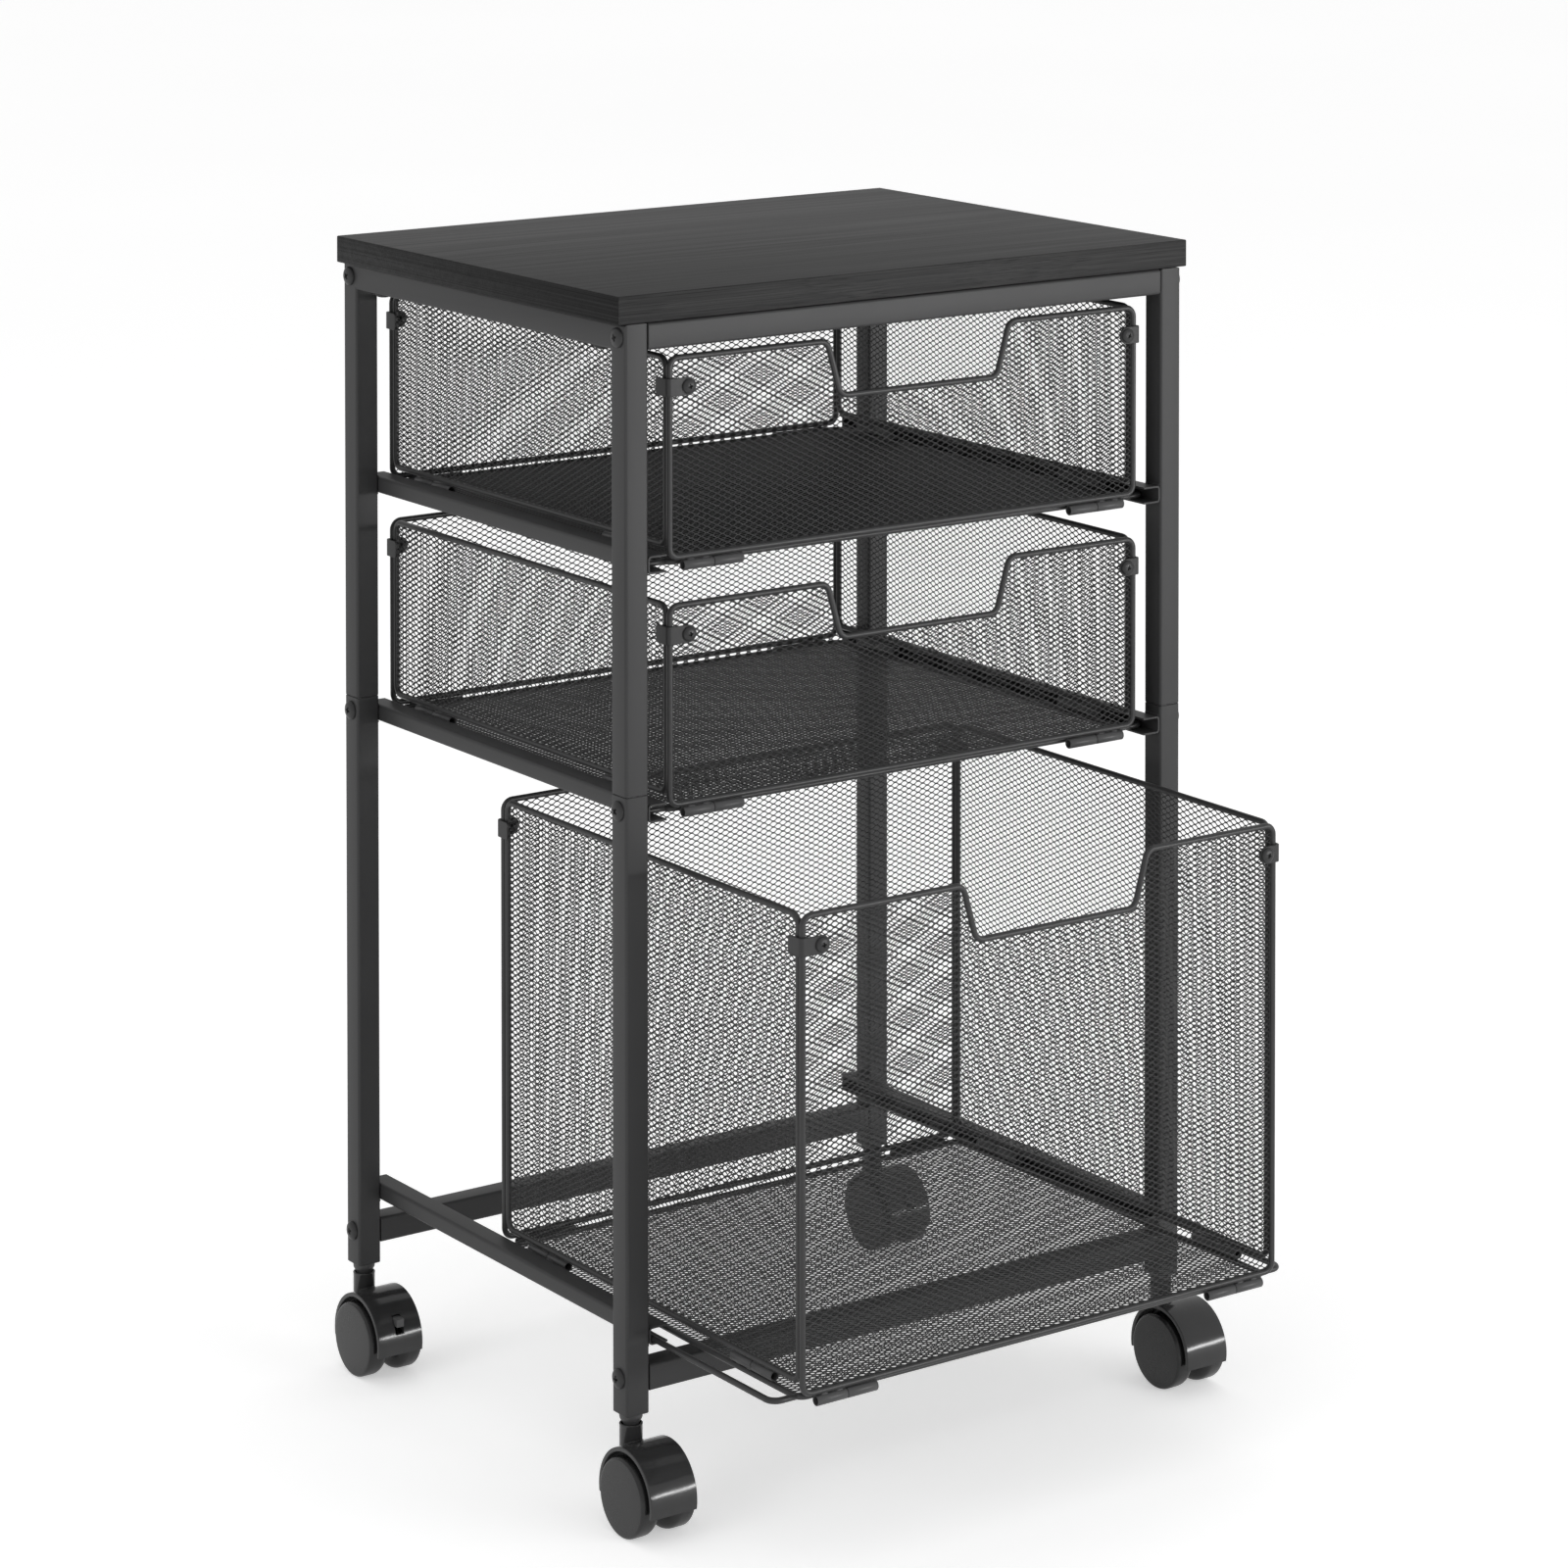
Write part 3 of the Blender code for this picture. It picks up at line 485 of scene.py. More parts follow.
def rounded_box(shape, low, high, edge=0.4):
    """A box with eased edges, as one closed form."""
    bm = bmesh.new()
    bmesh.ops.create_cube(bm, size=1.0)
    bmesh.ops.scale(bm, vec=[h - l for l, h in zip(low, high)], verts=bm.verts)
    bmesh.ops.translate(bm, vec=[(h + l) / 2 for l, h in zip(low, high)], verts=bm.verts)
    if edge:
        bmesh.ops.bevel(bm, geom=bm.edges[:], offset=edge, segments=3, profile=0.5, affect="EDGES")
    bm.verts.index_update()
    shape.add([v.co.copy() for v in bm.verts], [tuple(v.index for v in f.verts) for f in bm.faces])
    bm.free()
    return shape


def bead(shape, a, b, radius, sides=10, rings=4):
    """A small weld bead: a round-ended bar from a to b."""
    a, b = Vector(a), Vector(b)
    length = (b - a).length
    profile = [(0.0, -radius)]
    profile += [(radius * math.sin(math.pi / 2 * k / rings), -radius * math.cos(math.pi / 2 * k / rings)) for k in range(1, rings + 1)]
    profile += [(radius * math.cos(math.pi / 2 * k / rings), length + radius * math.sin(math.pi / 2 * k / rings)) for k in range(0, rings)]
    profile += [(0.0, length + radius)]
    return turned(shape, profile, a, b - a, sides)


def applied(obj):
    """The object's mesh with its modifiers worked in."""
    graph = bpy.context.evaluated_depsgraph_get()
    mesh = bpy.data.meshes.new_from_object(obj.evaluated_get(graph))
    bpy.data.objects.remove(obj, do_unlink=True)
    return mesh


def carved(mesh, cutters, name):
    """mesh less the cutters, by exact booleans."""
    obj = bpy.data.objects.new(name + "_work", mesh)
    scene.collection.objects.link(obj)
    tools = []
    for k, cutter in enumerate(cutters):
        tool = bpy.data.objects.new(f"{name}_cut_{k}", cutter)
        scene.collection.objects.link(tool)
        tools.append(tool)
        mod = obj.modifiers.new("cut", "BOOLEAN")
        mod.operation = "DIFFERENCE"
        mod.solver = "EXACT"
        mod.object = tool
    bpy.context.view_layer.update()
    out = applied(obj)
    for tool in tools:
        bpy.data.objects.remove(tool, do_unlink=True)
    return out


def closed_mesh(shape, name):
    """The shape as a welded mesh with its faces turned out."""
    mesh = shape.mesh(name)
    bm = bmesh.new()
    bm.from_mesh(mesh)
    bmesh.ops.remove_doubles(bm, verts=bm.verts, dist=1e-7)
    bmesh.ops.recalc_face_normals(bm, faces=bm.faces)
    bm.to_mesh(mesh)
    bm.free()
    return mesh


# ============================================================ places, read from the CAD
board_lo, board_hi = box_mm("top_board")
up_lo, up_hi = box_mm("upper_side_frame_right")
low_lo, low_hi = box_mm("lower_side_frame_right")
HALF_W, HALF_D = up_hi[0], (up_hi[1] - up_lo[1]) / 2
FRAME_Y = (up_hi[1] + up_lo[1]) / 2
FRAME_TOP, SEAM_HIGH = up_hi[2], up_lo[2]
SEAM_LOW, POST_BOTTOM = low_hi[2], low_lo[2]
MID_X = HALF_W - TUBE / 2
FRONT_Y, REAR_Y = FRAME_Y - (HALF_D - TUBE / 2), FRAME_Y + (HALF_D - TUBE / 2)
rail_lo, rail_hi = box_mm("upper_drawer_rail_right")
RAIL_H = rail_hi[2] - rail_lo[2]
cross_lo, cross_hi = box_mm("front_bottom_rail")
CROSS_Z = cross_lo[2]
WIRE_R = 1.75
TOP_DZ = {"upper_drawer": 111.8, "middle_drawer": 111.8, "file_basket": 257.9}      # top wire above its channel
CHANNEL_Z = {tag: box_mm(f"{tag}_front_panel")[1][2] - WIRE_R - rise for tag, rise in TOP_DZ.items()}

# ============================================================ top board
shape = Shape()
rounded_box(shape, board_lo, board_hi, 0.7)
shape.piece("laminate_top", BOARD, "frame", "laminate", ["top_board"], angle=50)

# ============================================================ side frames, channels and rails
CH_T, CH_R = 1.0, 1.1


def channel_section():
    """C section: p is up, q runs away from the middle of the stand, web at the outside."""
    half = RAIL_H / 2
    outer = filleted([(-half, -12.0, 0), (-half, 0.0, 0), (half, 0.0, 0), (half, -12.0, 0)], [0, CH_R + CH_T, CH_R + CH_T, 0], 5, False)
    inner = filleted([(half - CH_T, -12.0, 0), (half - CH_T, -CH_T, 0), (-half + CH_T, -CH_T, 0), (-half + CH_T, -12.0, 0)],
                     [0, CH_R, CH_R, 0], 5, False)
    return [p[:2] for p in outer] + [p[:2] for p in inner]


def channel(shape, side, z, half_y, with_stop=True):
    web_x = side * (HALF_W - TUBE - 0.05)
    section = [(p, q * side) for p, q in channel_section()]
    # the path runs to +Y with the normal up, so across is -X
    sweep(shape, [(web_x, FRAME_Y - half_y, z), (web_x, FRAME_Y + half_y, z)], (0, 0, 1), [(p, -q) for p, q in section])
    if with_stop:
        x_in, x_out = sorted((side * (HALF_W - TUBE - 11.2), side * (HALF_W - TUBE - 1.4)))
        rounded_box(shape, (x_in, FRAME_Y + half_y - 1.1, z - RAIL_H / 2 + CH_T + 0.1), (x_out, FRAME_Y + half_y - 0.1, z + RAIL_H / 2 - CH_T - 0.1), 0.2)
    return shape


for side, word in ((-1, "left"), (1, "right")):
    cx = side * MID_X
    shape = Shape()
    mid_z = FRAME_TOP - TUBE / 2
    square_tube(shape, [(cx, FRONT_Y, SEAM_HIGH), (cx, FRONT_Y, mid_z), (cx, REAR_Y, mid_z), (cx, REAR_Y, SEAM_HIGH)], (1, 0, 0))
    shape.piece(f"upper_frame_tube_{word}", STEEL, "frame", "frame_steel", [f"upper_side_frame_{word}"])
    for y, end in ((FRONT_Y, "front"), (REAR_Y, "rear")):
        shape = Shape()
        square_tube(shape, [(cx, y, POST_BOTTOM), (cx, y, SEAM_LOW)], (1, 0, 0))
        shape.piece(f"lower_post_{end}_{word}", STEEL, "frame", "frame_steel", [f"lower_side_frame_{word}"])
    for level, z in (("middle", CHANNEL_Z["middle_drawer"]), ("lower", CHANNEL_Z["file_basket"])):
        shape = Shape()
        channel(shape, side, z, 154.4)
        for y in (FRONT_Y, REAR_Y):
            for s in (-1, 1):
                x = side * (HALF_W - TUBE - 0.1)
                bead(shape, (x, y - 5.5, z + s * (RAIL_H / 2 + 0.1)), (x, y + 5.5, z + s * (RAIL_H / 2 + 0.1)), 0.75, 8, 3)
        shape.piece(f"{level}_channel_{word}", STEEL_LOW, "frame", "frame_steel", [f"lower_side_frame_{word}"])
    shape = Shape()
    channel(shape, side, CHANNEL_Z["upper_drawer"], 154.4)
    for y in (FRONT_Y, REAR_Y):
        for s in (-1, 1):
            x = side * (HALF_W - TUBE - 0.1)
            bead(shape, (x, y - 5.5, CHANNEL_Z["upper_drawer"] + s * (RAIL_H / 2 + 0.1)), (x, y + 5.5, CHANNEL_Z["upper_drawer"] + s * (RAIL_H / 2 + 0.1)), 0.75, 8, 3)
    shape.piece(f"upper_channel_{word}", STEEL_LOW, "frame", "frame_steel", [f"upper_drawer_rail_{word}"])

for y, end in ((FRONT_Y, "front"), (REAR_Y, "rear")):
    for level in ("top", "bottom"):
        lo, hi = box_mm(f"{end}_{level}_rail")
        z = (lo[2] + hi[2]) / 2
        shape = Shape()
        square_tube(shape, [(lo[0], y, z), (hi[0], y, z)], (0, 0, 1))
        shape.piece(f"{end}_{level}_cross_tube", STEEL, "frame", "frame_steel", [f"{end}_{level}_rail"])

# ============================================================ screws
screw_cache = {}


def screw_mesh(head_r, head_h, shank_r, shank_l, key):
    """A pan head with a cross recess and a short shank, head up +Z, seat at z = 0."""
    if key in screw_cache:
        return screw_cache[key]
    profile = [(0.0, head_h)]
    for k in range(1, 9):
        t = k / 8
        profile.append((head_r * math.sin(t * math.pi / 2) * 0.985, head_h * (0.32 + 0.68 * math.cos(t * math.pi / 2))))
    profile += [(head_r, head_h * 0.25), (head_r * 0.985, 0.06), (head_r * 0.95, 0.0), (shank_r, 0.0), (shank_r, -shank_l + 0.3), (shank_r - 0.3, -shank_l), (0.0, -shank_l)]
    body = Shape()
    turned(body, profile, (0, 0, 0), (0, 0, 1), 36)
    cutters = []
    arm, wide = head_r * 0.44, head_r * 0.115
    for k in range(2):
        cross = Shape()
        top, bottom = head_h + 1.0, head_h * 0.30
        x0, y0, x1, y1 = arm * 1.12, wide * 1.15, arm * 0.42, wide * 0.75
        ring = lambda x, y, z: [(-x, -y, z), (x, -y, z), (x, y, z), (-x, y, z)]
        verts = ring(x0, y0, top) + ring(x1, y1, bottom)
        if k:
            verts = [(-y, x, z) for x, y, z in verts]
        cross.add(verts, [(0, 1, 2, 3), (7, 6, 5, 4), (0, 4, 5, 1), (1, 5, 6, 2), (2, 6, 7, 3), (3, 7, 4, 0)])
        cutters.append(closed_mesh(cross, f"cross_{key}_{k}"))
    mesh = carved(closed_mesh(body, f"screw_{key}"), cutters, f"screw_{key}")
    verts = np.array([v.co for v in mesh.vertices]) / MM
    faces = [tuple(p.vertices) for p in mesh.polygons]
    screw_cache[key] = (verts, faces)
    return screw_cache[key]


def put_screw(shape, at, outward, key, spin=0.0, sizes=(5.6, 2.7, 2.4, 8.0)):
    verts, faces = screw_mesh(*sizes, key)
    turn = Vector(outward).to_track_quat("Z", "Y").to_matrix() @ Matrix.Rotation(math.radians(spin), 3, "Z")
    moved = [turn @ Vector(v) + Vector(at) for v in verts]
    return shape.add(moved, faces)


for side, word in ((-1, "left"), (1, "right")):
    shape = Shape()
    turn = 17
    for y in (FRONT_Y, REAR_Y):
        for z in (FRAME_TOP - TUBE / 2, SEAM_LOW - 8.1, CROSS_Z + TUBE / 2 + 0.7):
            put_screw(shape, (side * HALF_W, y, z), (side, 0, 0), "frame", turn)
            turn += 37
    shape.piece(f"frame_screws_{word}", SCREW, "frame", "frame_steel", angle=38)
    # the board is screwed down from below, through the side rails
    shape = Shape()
    for y in (FRAME_Y - 120, FRAME_Y + 120):
        put_screw(shape, (side * MID_X, y, FRAME_TOP - TUBE), (0, 0, -1), "board", turn, (5.0, 2.8, 2.0, 6.0))
        turn += 41
    shape.piece(f"board_screws_{word}", SCREW, "frame", "frame_steel", angle=38)

# ============================================================ casters
HOOD_R, HOOD_INNER_R, HOOD_HALF_W = 26.7, 24.2, 15.0
HOOD_FRONT, HOOD_REAR = -10.0, 190.0       # degrees above the axle, from the front edge over the top to the rear edge
NECK_R = 6.45


def arc(middle, radius, first, last, steps):
    """Points (u, v) round a middle, at angles in degrees from the u axis."""
    return [(middle[0] + radius * math.cos(math.radians(first + (last - first) * k / steps)),
             middle[1] + radius * math.sin(math.radians(first + (last - first) * k / steps))) for k in range(steps + 1)]


def caster(tag, braked):
    stem_lo, stem_hi = box_mm(f"caster_stem_{tag}")
    x, y = (stem_lo[0] + stem_hi[0]) / 2, (stem_lo[1] + stem_hi[1]) / 2
    wheel_lo, wheel_hi = box_mm(f"caster_wheel_{tag}_left")
    wheel_r = (wheel_hi[2] - wheel_lo[2]) / 2
    ay, az = (wheel_lo[1] + wheel_hi[1]) / 2, wheel_lo[2] + wheel_r
    face = max(abs(wheel_lo[0] - x), abs(wheel_hi[0] - x))      # outer face of a wheel, from the middle of the caster
    neck_top = POST_BOTTOM - 5.8
    body = f"caster_{tag}"

    # fixed stem: square plug in the post, round collar that tapers into the neck, and the pin that the neck turns on
    shape = Shape()
    rounded_box(shape, (x - 5.95, y - 5.95, POST_BOTTOM - 0.1), (x + 5.95, y + 5.95, POST_BOTTOM + 29), 0.6)
    turned(shape, [(0.0, POST_BOTTOM + 0.4), (6.45, POST_BOTTOM + 0.4), (6.5, POST_BOTTOM + 0.1), (6.45, neck_top + 3.6), (6.3, neck_top + 2.9), (5.9, neck_top + 2.1),
                   (5.35, neck_top + 1.35), (5.1, neck_top + 1.1), (4.7, neck_top + 0.2), (4.1, neck_top - 1.4), (4.0, neck_top - 2.2), (4.0, neck_top - 9.4), (3.6, neck_top - 9.9),
                   (0.0, neck_top - 9.9)], (x, y, 0), (0, 0, 1), 44)
    shape.piece(f"caster_plug_{tag}", COLLAR, "frame", "zinc_steel", [f"caster_stem_{tag}"], angle=50)

    # hood: a T section turned about the axle, from the rear lower edge over the top to the front lower edge
    ease = 0.55
    half = [(HOOD_INNER_R, HOOD_HALF_W - 0.35), (HOOD_INNER_R + 0.35, HOOD_HALF_W)] + arc((HOOD_R - ease, HOOD_HALF_W - ease), ease, 90, 0, 5)
    right = [(r, h) for r, h in half]
    left = [(r, -h) for r, h in reversed(half)]
    section = [(HOOD_R, -5.0), (HOOD_R, 0.0), (HOOD_R, 5.0)] + list(reversed(right)) + [
        (HOOD_INNER_R, 3.6), (HOOD_INNER_R - 0.35, 2.85), (HOOD_INNER_R - 1.1, 2.5), (6.0, 2.5), (6.0, -2.5), (HOOD_INNER_R - 1.1, -2.5), (HOOD_INNER_R - 0.35, -2.85),
        (HOOD_INNER_R, -3.6)] + list(reversed(left))
    shape = Shape()
    turned(shape, section, (x, ay, az), (1, 0, 0), 72, 180 - HOOD_REAR, 180 - HOOD_FRONT)
    hood_mesh = closed_mesh(shape, f"hood_{tag}")
    bore = Shape()
    turned(bore, [(0.0, 90.0), (5.0, 90.0), (5.0, neck_top - 10.8), (0.0, neck_top - 10.8)], (x, y, 0), (0, 0, 1), 36)
    cutters = [closed_mesh(bore, f"bore_{tag}")]
    if braked:
        slot = Shape()
        rounded_box(slot, (x - 2.9, ay - 33, az + 7.0), (x + 2.9, ay - 13.0, az + 17.3), 0.0)
        cutters.append(closed_mesh(slot, f"slot_{tag}"))
    hood_mesh = carved(hood_mesh, cutters, f"hood_{tag}")
    finish_piece(f"hood_shell_{tag}", hood_mesh, HOOD, body, [f"caster_hood_{tag}"], angle=35)

    # neck: a round post on the hood with a recessed top, cut back round the wheels, and a small fillet where it meets the hood
    neck = Shape()
    turned(neck, [(5.0, 30.0), (NECK_R, 30.0), (NECK_R, neck_top - 1.1), (NECK_R + 0.12, neck_top - 0.8), (NECK_R + 0.12, neck_top - 0.3), (NECK_R - 0.15, neck_top),
                  (NECK_R - 0.75, neck_top), (5.55, neck_top - 0.3), (5.4, neck_top - 3.2), (5.0, neck_top - 3.6)], (x, y, 0), (0, 0, 1), 52)
    room = []
    for s in (-1, 1):
        cut = Shape()
        lo, hi = sorted((x + s * 2.45, x + s * 22))
        turned(cut, [(0.0, 0.0), (HOOD_INNER_R + 0.1, 0.0), (HOOD_INNER_R + 0.1, hi - lo), (0.0, hi - lo)], (lo, ay, az), (1, 0, 0), 72)
        room.append(closed_mesh(cut, f"room_{tag}_{s + 1}"))
    neck_mesh = carved(closed_mesh(neck, f"neck_{tag}"), room, f"neck_{tag}")
    finish_piece(f"hood_neck_{tag}", neck_mesh, HOOD, body, angle=35)

    # fillet: a bead that follows the line where the round neck runs into the round hood
    fillet = Shape()
    ring = []
    for k in range(60):
        t = 2 * math.pi * k / 60
        px, py = (NECK_R + 0.05) * math.cos(t), (NECK_R + 0.05) * math.sin(t)
        ring.append(Vector((x + px, y + py, az + math.sqrt(max(HOOD_R ** 2 - (y + py - ay) ** 2, 1.0)))))
    verts, faces, m = [], [], 8
    for k, p in enumerate(ring):
        tangent = (ring[(k + 1) % 60] - ring[k - 1]).normalized()
        out = Vector((p.x - x, p.y - y, 0)).normalized()
        up = Vector((0, p.y - ay, p.z - az)).normalized()
        side = (out - tangent * out.dot(tangent)).normalized()
        rise = tangent.cross(side)
        if rise.dot(up) < 0:
            rise.negate()
        for j in range(m):
            a = 2 * math.pi * j / m
            verts.append(p + side * (0.55 * math.cos(a)) + rise * (0.5 * math.sin(a)))
    for k in range(60):
        for j in range(m):
            a, b = k * m, ((k + 1) % 60) * m
            faces.append((a + j, a + (j + 1) % m, b + (j + 1) % m, b + j))
    fillet.add(verts, faces)
    fillet.piece(f"hood_fillet_{tag}", HOOD, body, "caster_housing", angle=60)

    hub = Shape()
    turned(hub, [(0.0, -face + 2.1), (2.6, -face + 2.1), (2.95, -face + 2.5), (2.95, -2.6), (8.6, -2.6), (9.0, -2.2), (9.0, 2.2), (8.6, 2.6), (2.95, 2.6),
                 (2.95, face - 2.5), (2.6, face - 2.1), (0.0, face - 2.1)], (x, ay, az), (1, 0, 0), 36)
    hub.piece(f"hood_axle_{tag}", COLLAR, body, "caster_housing", angle=38)

    # wheels: a slightly crowned face that stands proud of the hood, a narrow tread, a big inner shoulder and a bore for the axle
    for s, word in ((-1, "left"), (1, "right")):
        wheel = Shape()
        profile = [(0.0, face + 0.25), (7.0, face + 0.22), (13.0, face + 0.12), (18.0, face - 0.03), (wheel_r - 1.7, face - 0.15)]
        profile += arc((wheel_r - 1.7, face - 1.75), 1.6, 90, 0, 7)[1:]
        profile[-1] = (wheel_r, face - 1.75)
        profile += [(wheel_r, 13.0), (wheel_r, 10.0)]
        profile += arc((wheel_r - 5.6, 9.6), 5.6, 0, -78, 9)[1:]
        profile += [(15.0, 3.5), (14.4, 4.0), (13.8, 6.0), (7.4, 6.0), (7.0, 3.8), (6.4, 3.1), (3.35, 3.1), (3.35, face - 1.7), (0.0, face - 1.7)]
        turned(wheel, profile, (x, ay, az), (s, 0, 0), 72)
        wheel.piece(f"wheel_{tag}_{word}_tyre", WHEEL, f"wheel_{tag}_{word}", "caster_wheel", [f"caster_wheel_{tag}_{word}"], angle=40)

    if braked:
        lever = Shape()
        lo, hi = box_mm(f"brake_lever_{tag}")
        rounded_box(lever, lo + np.array([0.02, 0.0, 0.0]), hi - np.array([0.02, 0.0, 0.0]), 0.55)
        side_word = tag.split("_")[1]
        lever.piece(f"brake_tab_{side_word}", LEVER, f"brake_rear_{side_word}", "brake_lever", [f"brake_lever_{tag}"], angle=40)


for tag, braked in (("front_left", False), ("front_right", False), ("rear_left", True), ("rear_right", True)):
    caster(tag, braked)

# ============================================================ expanded metal
LONG, SHORT = 7.0, 3.5      # one diamond, long way and short way
BOND = 1.6                  # where two strands run side by side
STRAND, THICK = 0.76, 0.50  # strand width and metal thickness
LEAN = math.radians(24)     # strands lean out of the sheet's plane


def crossings(outline, v):
    """Where the outline meets the line at height v, in order."""
    hits = []
    count = len(outline)
    for i in range(count):
        (u0, v0), (u1, v1) = outline[i][:2], outline[(i + 1) % count][:2]
        if (v0 <= v) != (v1 <= v):
            hits.append(u0 + (u1 - u0) * (v - v0) / (v1 - v0))
    return sorted(hits)


def expanded_sheet(name, outline, to_world, body, phase=0.0, replaces=(), mat=None):
    """Expanded metal that fills an outline given in a plane (u along the long way, v across), one zigzag strand per half diamond.
    to_world is a 4x4 from (u, v, out) in mm to the row frame in mm."""
    lows = min(p[1] for p in outline)
    highs = max(p[1] for p in outline)
    band = SHORT / 2
    c, s = math.cos(LEAN), math.sin(LEAN)
    # the strand's section: a flat face that leans, and a ridge behind it
    corners = np.array([(STRAND / 2 * c - THICK / 2 * s, STRAND / 2 * s + THICK / 2 * c), (-STRAND / 2 * c - THICK / 2 * s, -STRAND / 2 * s + THICK / 2 * c),
                        (THICK / 2 * s * 1.4, -THICK / 2 * c * 1.4)])
    lift = STRAND * 0.24      # at a bond the two strands lie side by side
    points, quads, ends = [], [], []
    total = 0
    first = math.floor(lows / band)
    half = LONG / 2
    for j in range(first, math.ceil(highs / band)):
        v0, v1 = j * band, (j + 1) * band
        hits = crossings(outline, (v0 + v1) / 2)
        for ua, ub in zip(hits[::2], hits[1::2]):
            if ub - ua < 1.5:
                continue
            steps = np.arange(math.floor((ua - phase) / half) - 1, math.ceil((ub - phase) / half) + 2)
            # a bond is on v0 when step + j is even
            way_u = (phase + half * steps[:, None] + np.array([-BOND / 2, BOND / 2])).ravel()
            way_v = np.repeat(np.where((steps + j) % 2 == 0, v0 + lift, v1 - lift), 2)
            inner = way_u[(way_u > ua + 0.08) & (way_u < ub - 0.08)]
            us = np.concatenate([[ua], inner, [ub]])
            vs = np.interp(us, way_u, way_v)
            n = len(us)
            ring = np.empty((n, 3, 3))
            ring[:, :, 0] = us[:, None]
            ring[:, :, 1] = vs[:, None] + corners[None, :, 0]
            ring[:, :, 2] = corners[None, :, 1]
            points.append(ring.reshape(-1, 3))
            base = total + 3 * np.arange(n - 1)[:, None]
            k = np.arange(3)[None, :]
            k2 = (k + 1) % 3
            quads.append(np.stack([base + k, base + 3 + k, base + 3 + k2, base + k2], axis=2).reshape(-1, 4))
            ends.append([[total, total + 1, total + 2], [total + 3 * n - 1, total + 3 * n - 2, total + 3 * n - 3]])
            total += 3 * n
    flat = np.concatenate(points)
    faces, caps = np.concatenate(quads), np.concatenate(ends)
    m = np.array(to_world, float)
    world = (flat @ m[:3, :3].T + m[:3, 3]) * MM
    if np.linalg.det(m[:3, :3]) > 0:
        faces, caps = faces[:, ::-1], caps[:, ::-1]
    mesh = bpy.data.meshes.new(name)
    mesh.vertices.add(len(world))
    mesh.vertices.foreach_set("co", world.astype(np.float32).ravel())
    loops = np.concatenate([faces.ravel(), caps.ravel()])
    mesh.loops.add(len(loops))
    mesh.loops.foreach_set("vertex_index", np.ascontiguousarray(loops, np.int32))
    mesh.polygons.add(len(faces) + len(caps))
    mesh.polygons.foreach_set("loop_start", np.concatenate([np.arange(0, faces.size, 4), np.arange(faces.size, len(loops), 3)]).astype(np.int32))
    mesh.update(calc_edges=True)
    # a plain map onto the sheet's plane, so that no unwrap of the strands is needed
    layer = mesh.uv_layers.new(name="OFBake")
    size = max(highs - lows, max(p[0] for p in outline) - min(p[0] for p in outline)) + 8.0
    uv = (flat[:, :2] - np.array([min(p[0] for p in outline) - 4.0, lows - 4.0])) / size
    layer.data.foreach_set("uv", uv[loops].astype(np.float32).ravel())
    return finish_piece(name, mesh, mat or MESH, body, replaces, angle=None, weld=False)


# ============================================================ baskets
BARREL_R, BARREL_L = 2.9, 39.6
CORNER_R, NOTCH_R = 5.5, 6.5


def barrel(shape_wall, shape_base, mid, along, outward):
    """A rolled hinge barrel: one knuckle on the wall and one on the base, open at the ends, with the pin a little inside."""
    mid, along = Vector(mid), Vector(along)
    half = BARREL_L / 2
    for shape, lo, hi in ((shape_wall, 0.2, half), (shape_base, -half, -0.2)):
        profile = [(BARREL_R - 0.2, lo), (BARREL_R, lo + 0.25), (BARREL_R, hi - 0.25), (BARREL_R - 0.2, hi), (2.4, hi), (2.25, hi - 0.15), (2.25, lo + 0.1), (2.4, lo)]
        turned(shape, [(r, h) for r, h in profile], mid, along, 26)
    pin = [(0.0, -half + 8.6), (1.8, -half + 8.6), (2.1, -half + 8.9), (2.1, half - 8.9), (1.8, half - 8.6), (0.0, half - 8.6)]
    turned(shape_base, pin, mid, along, 14)


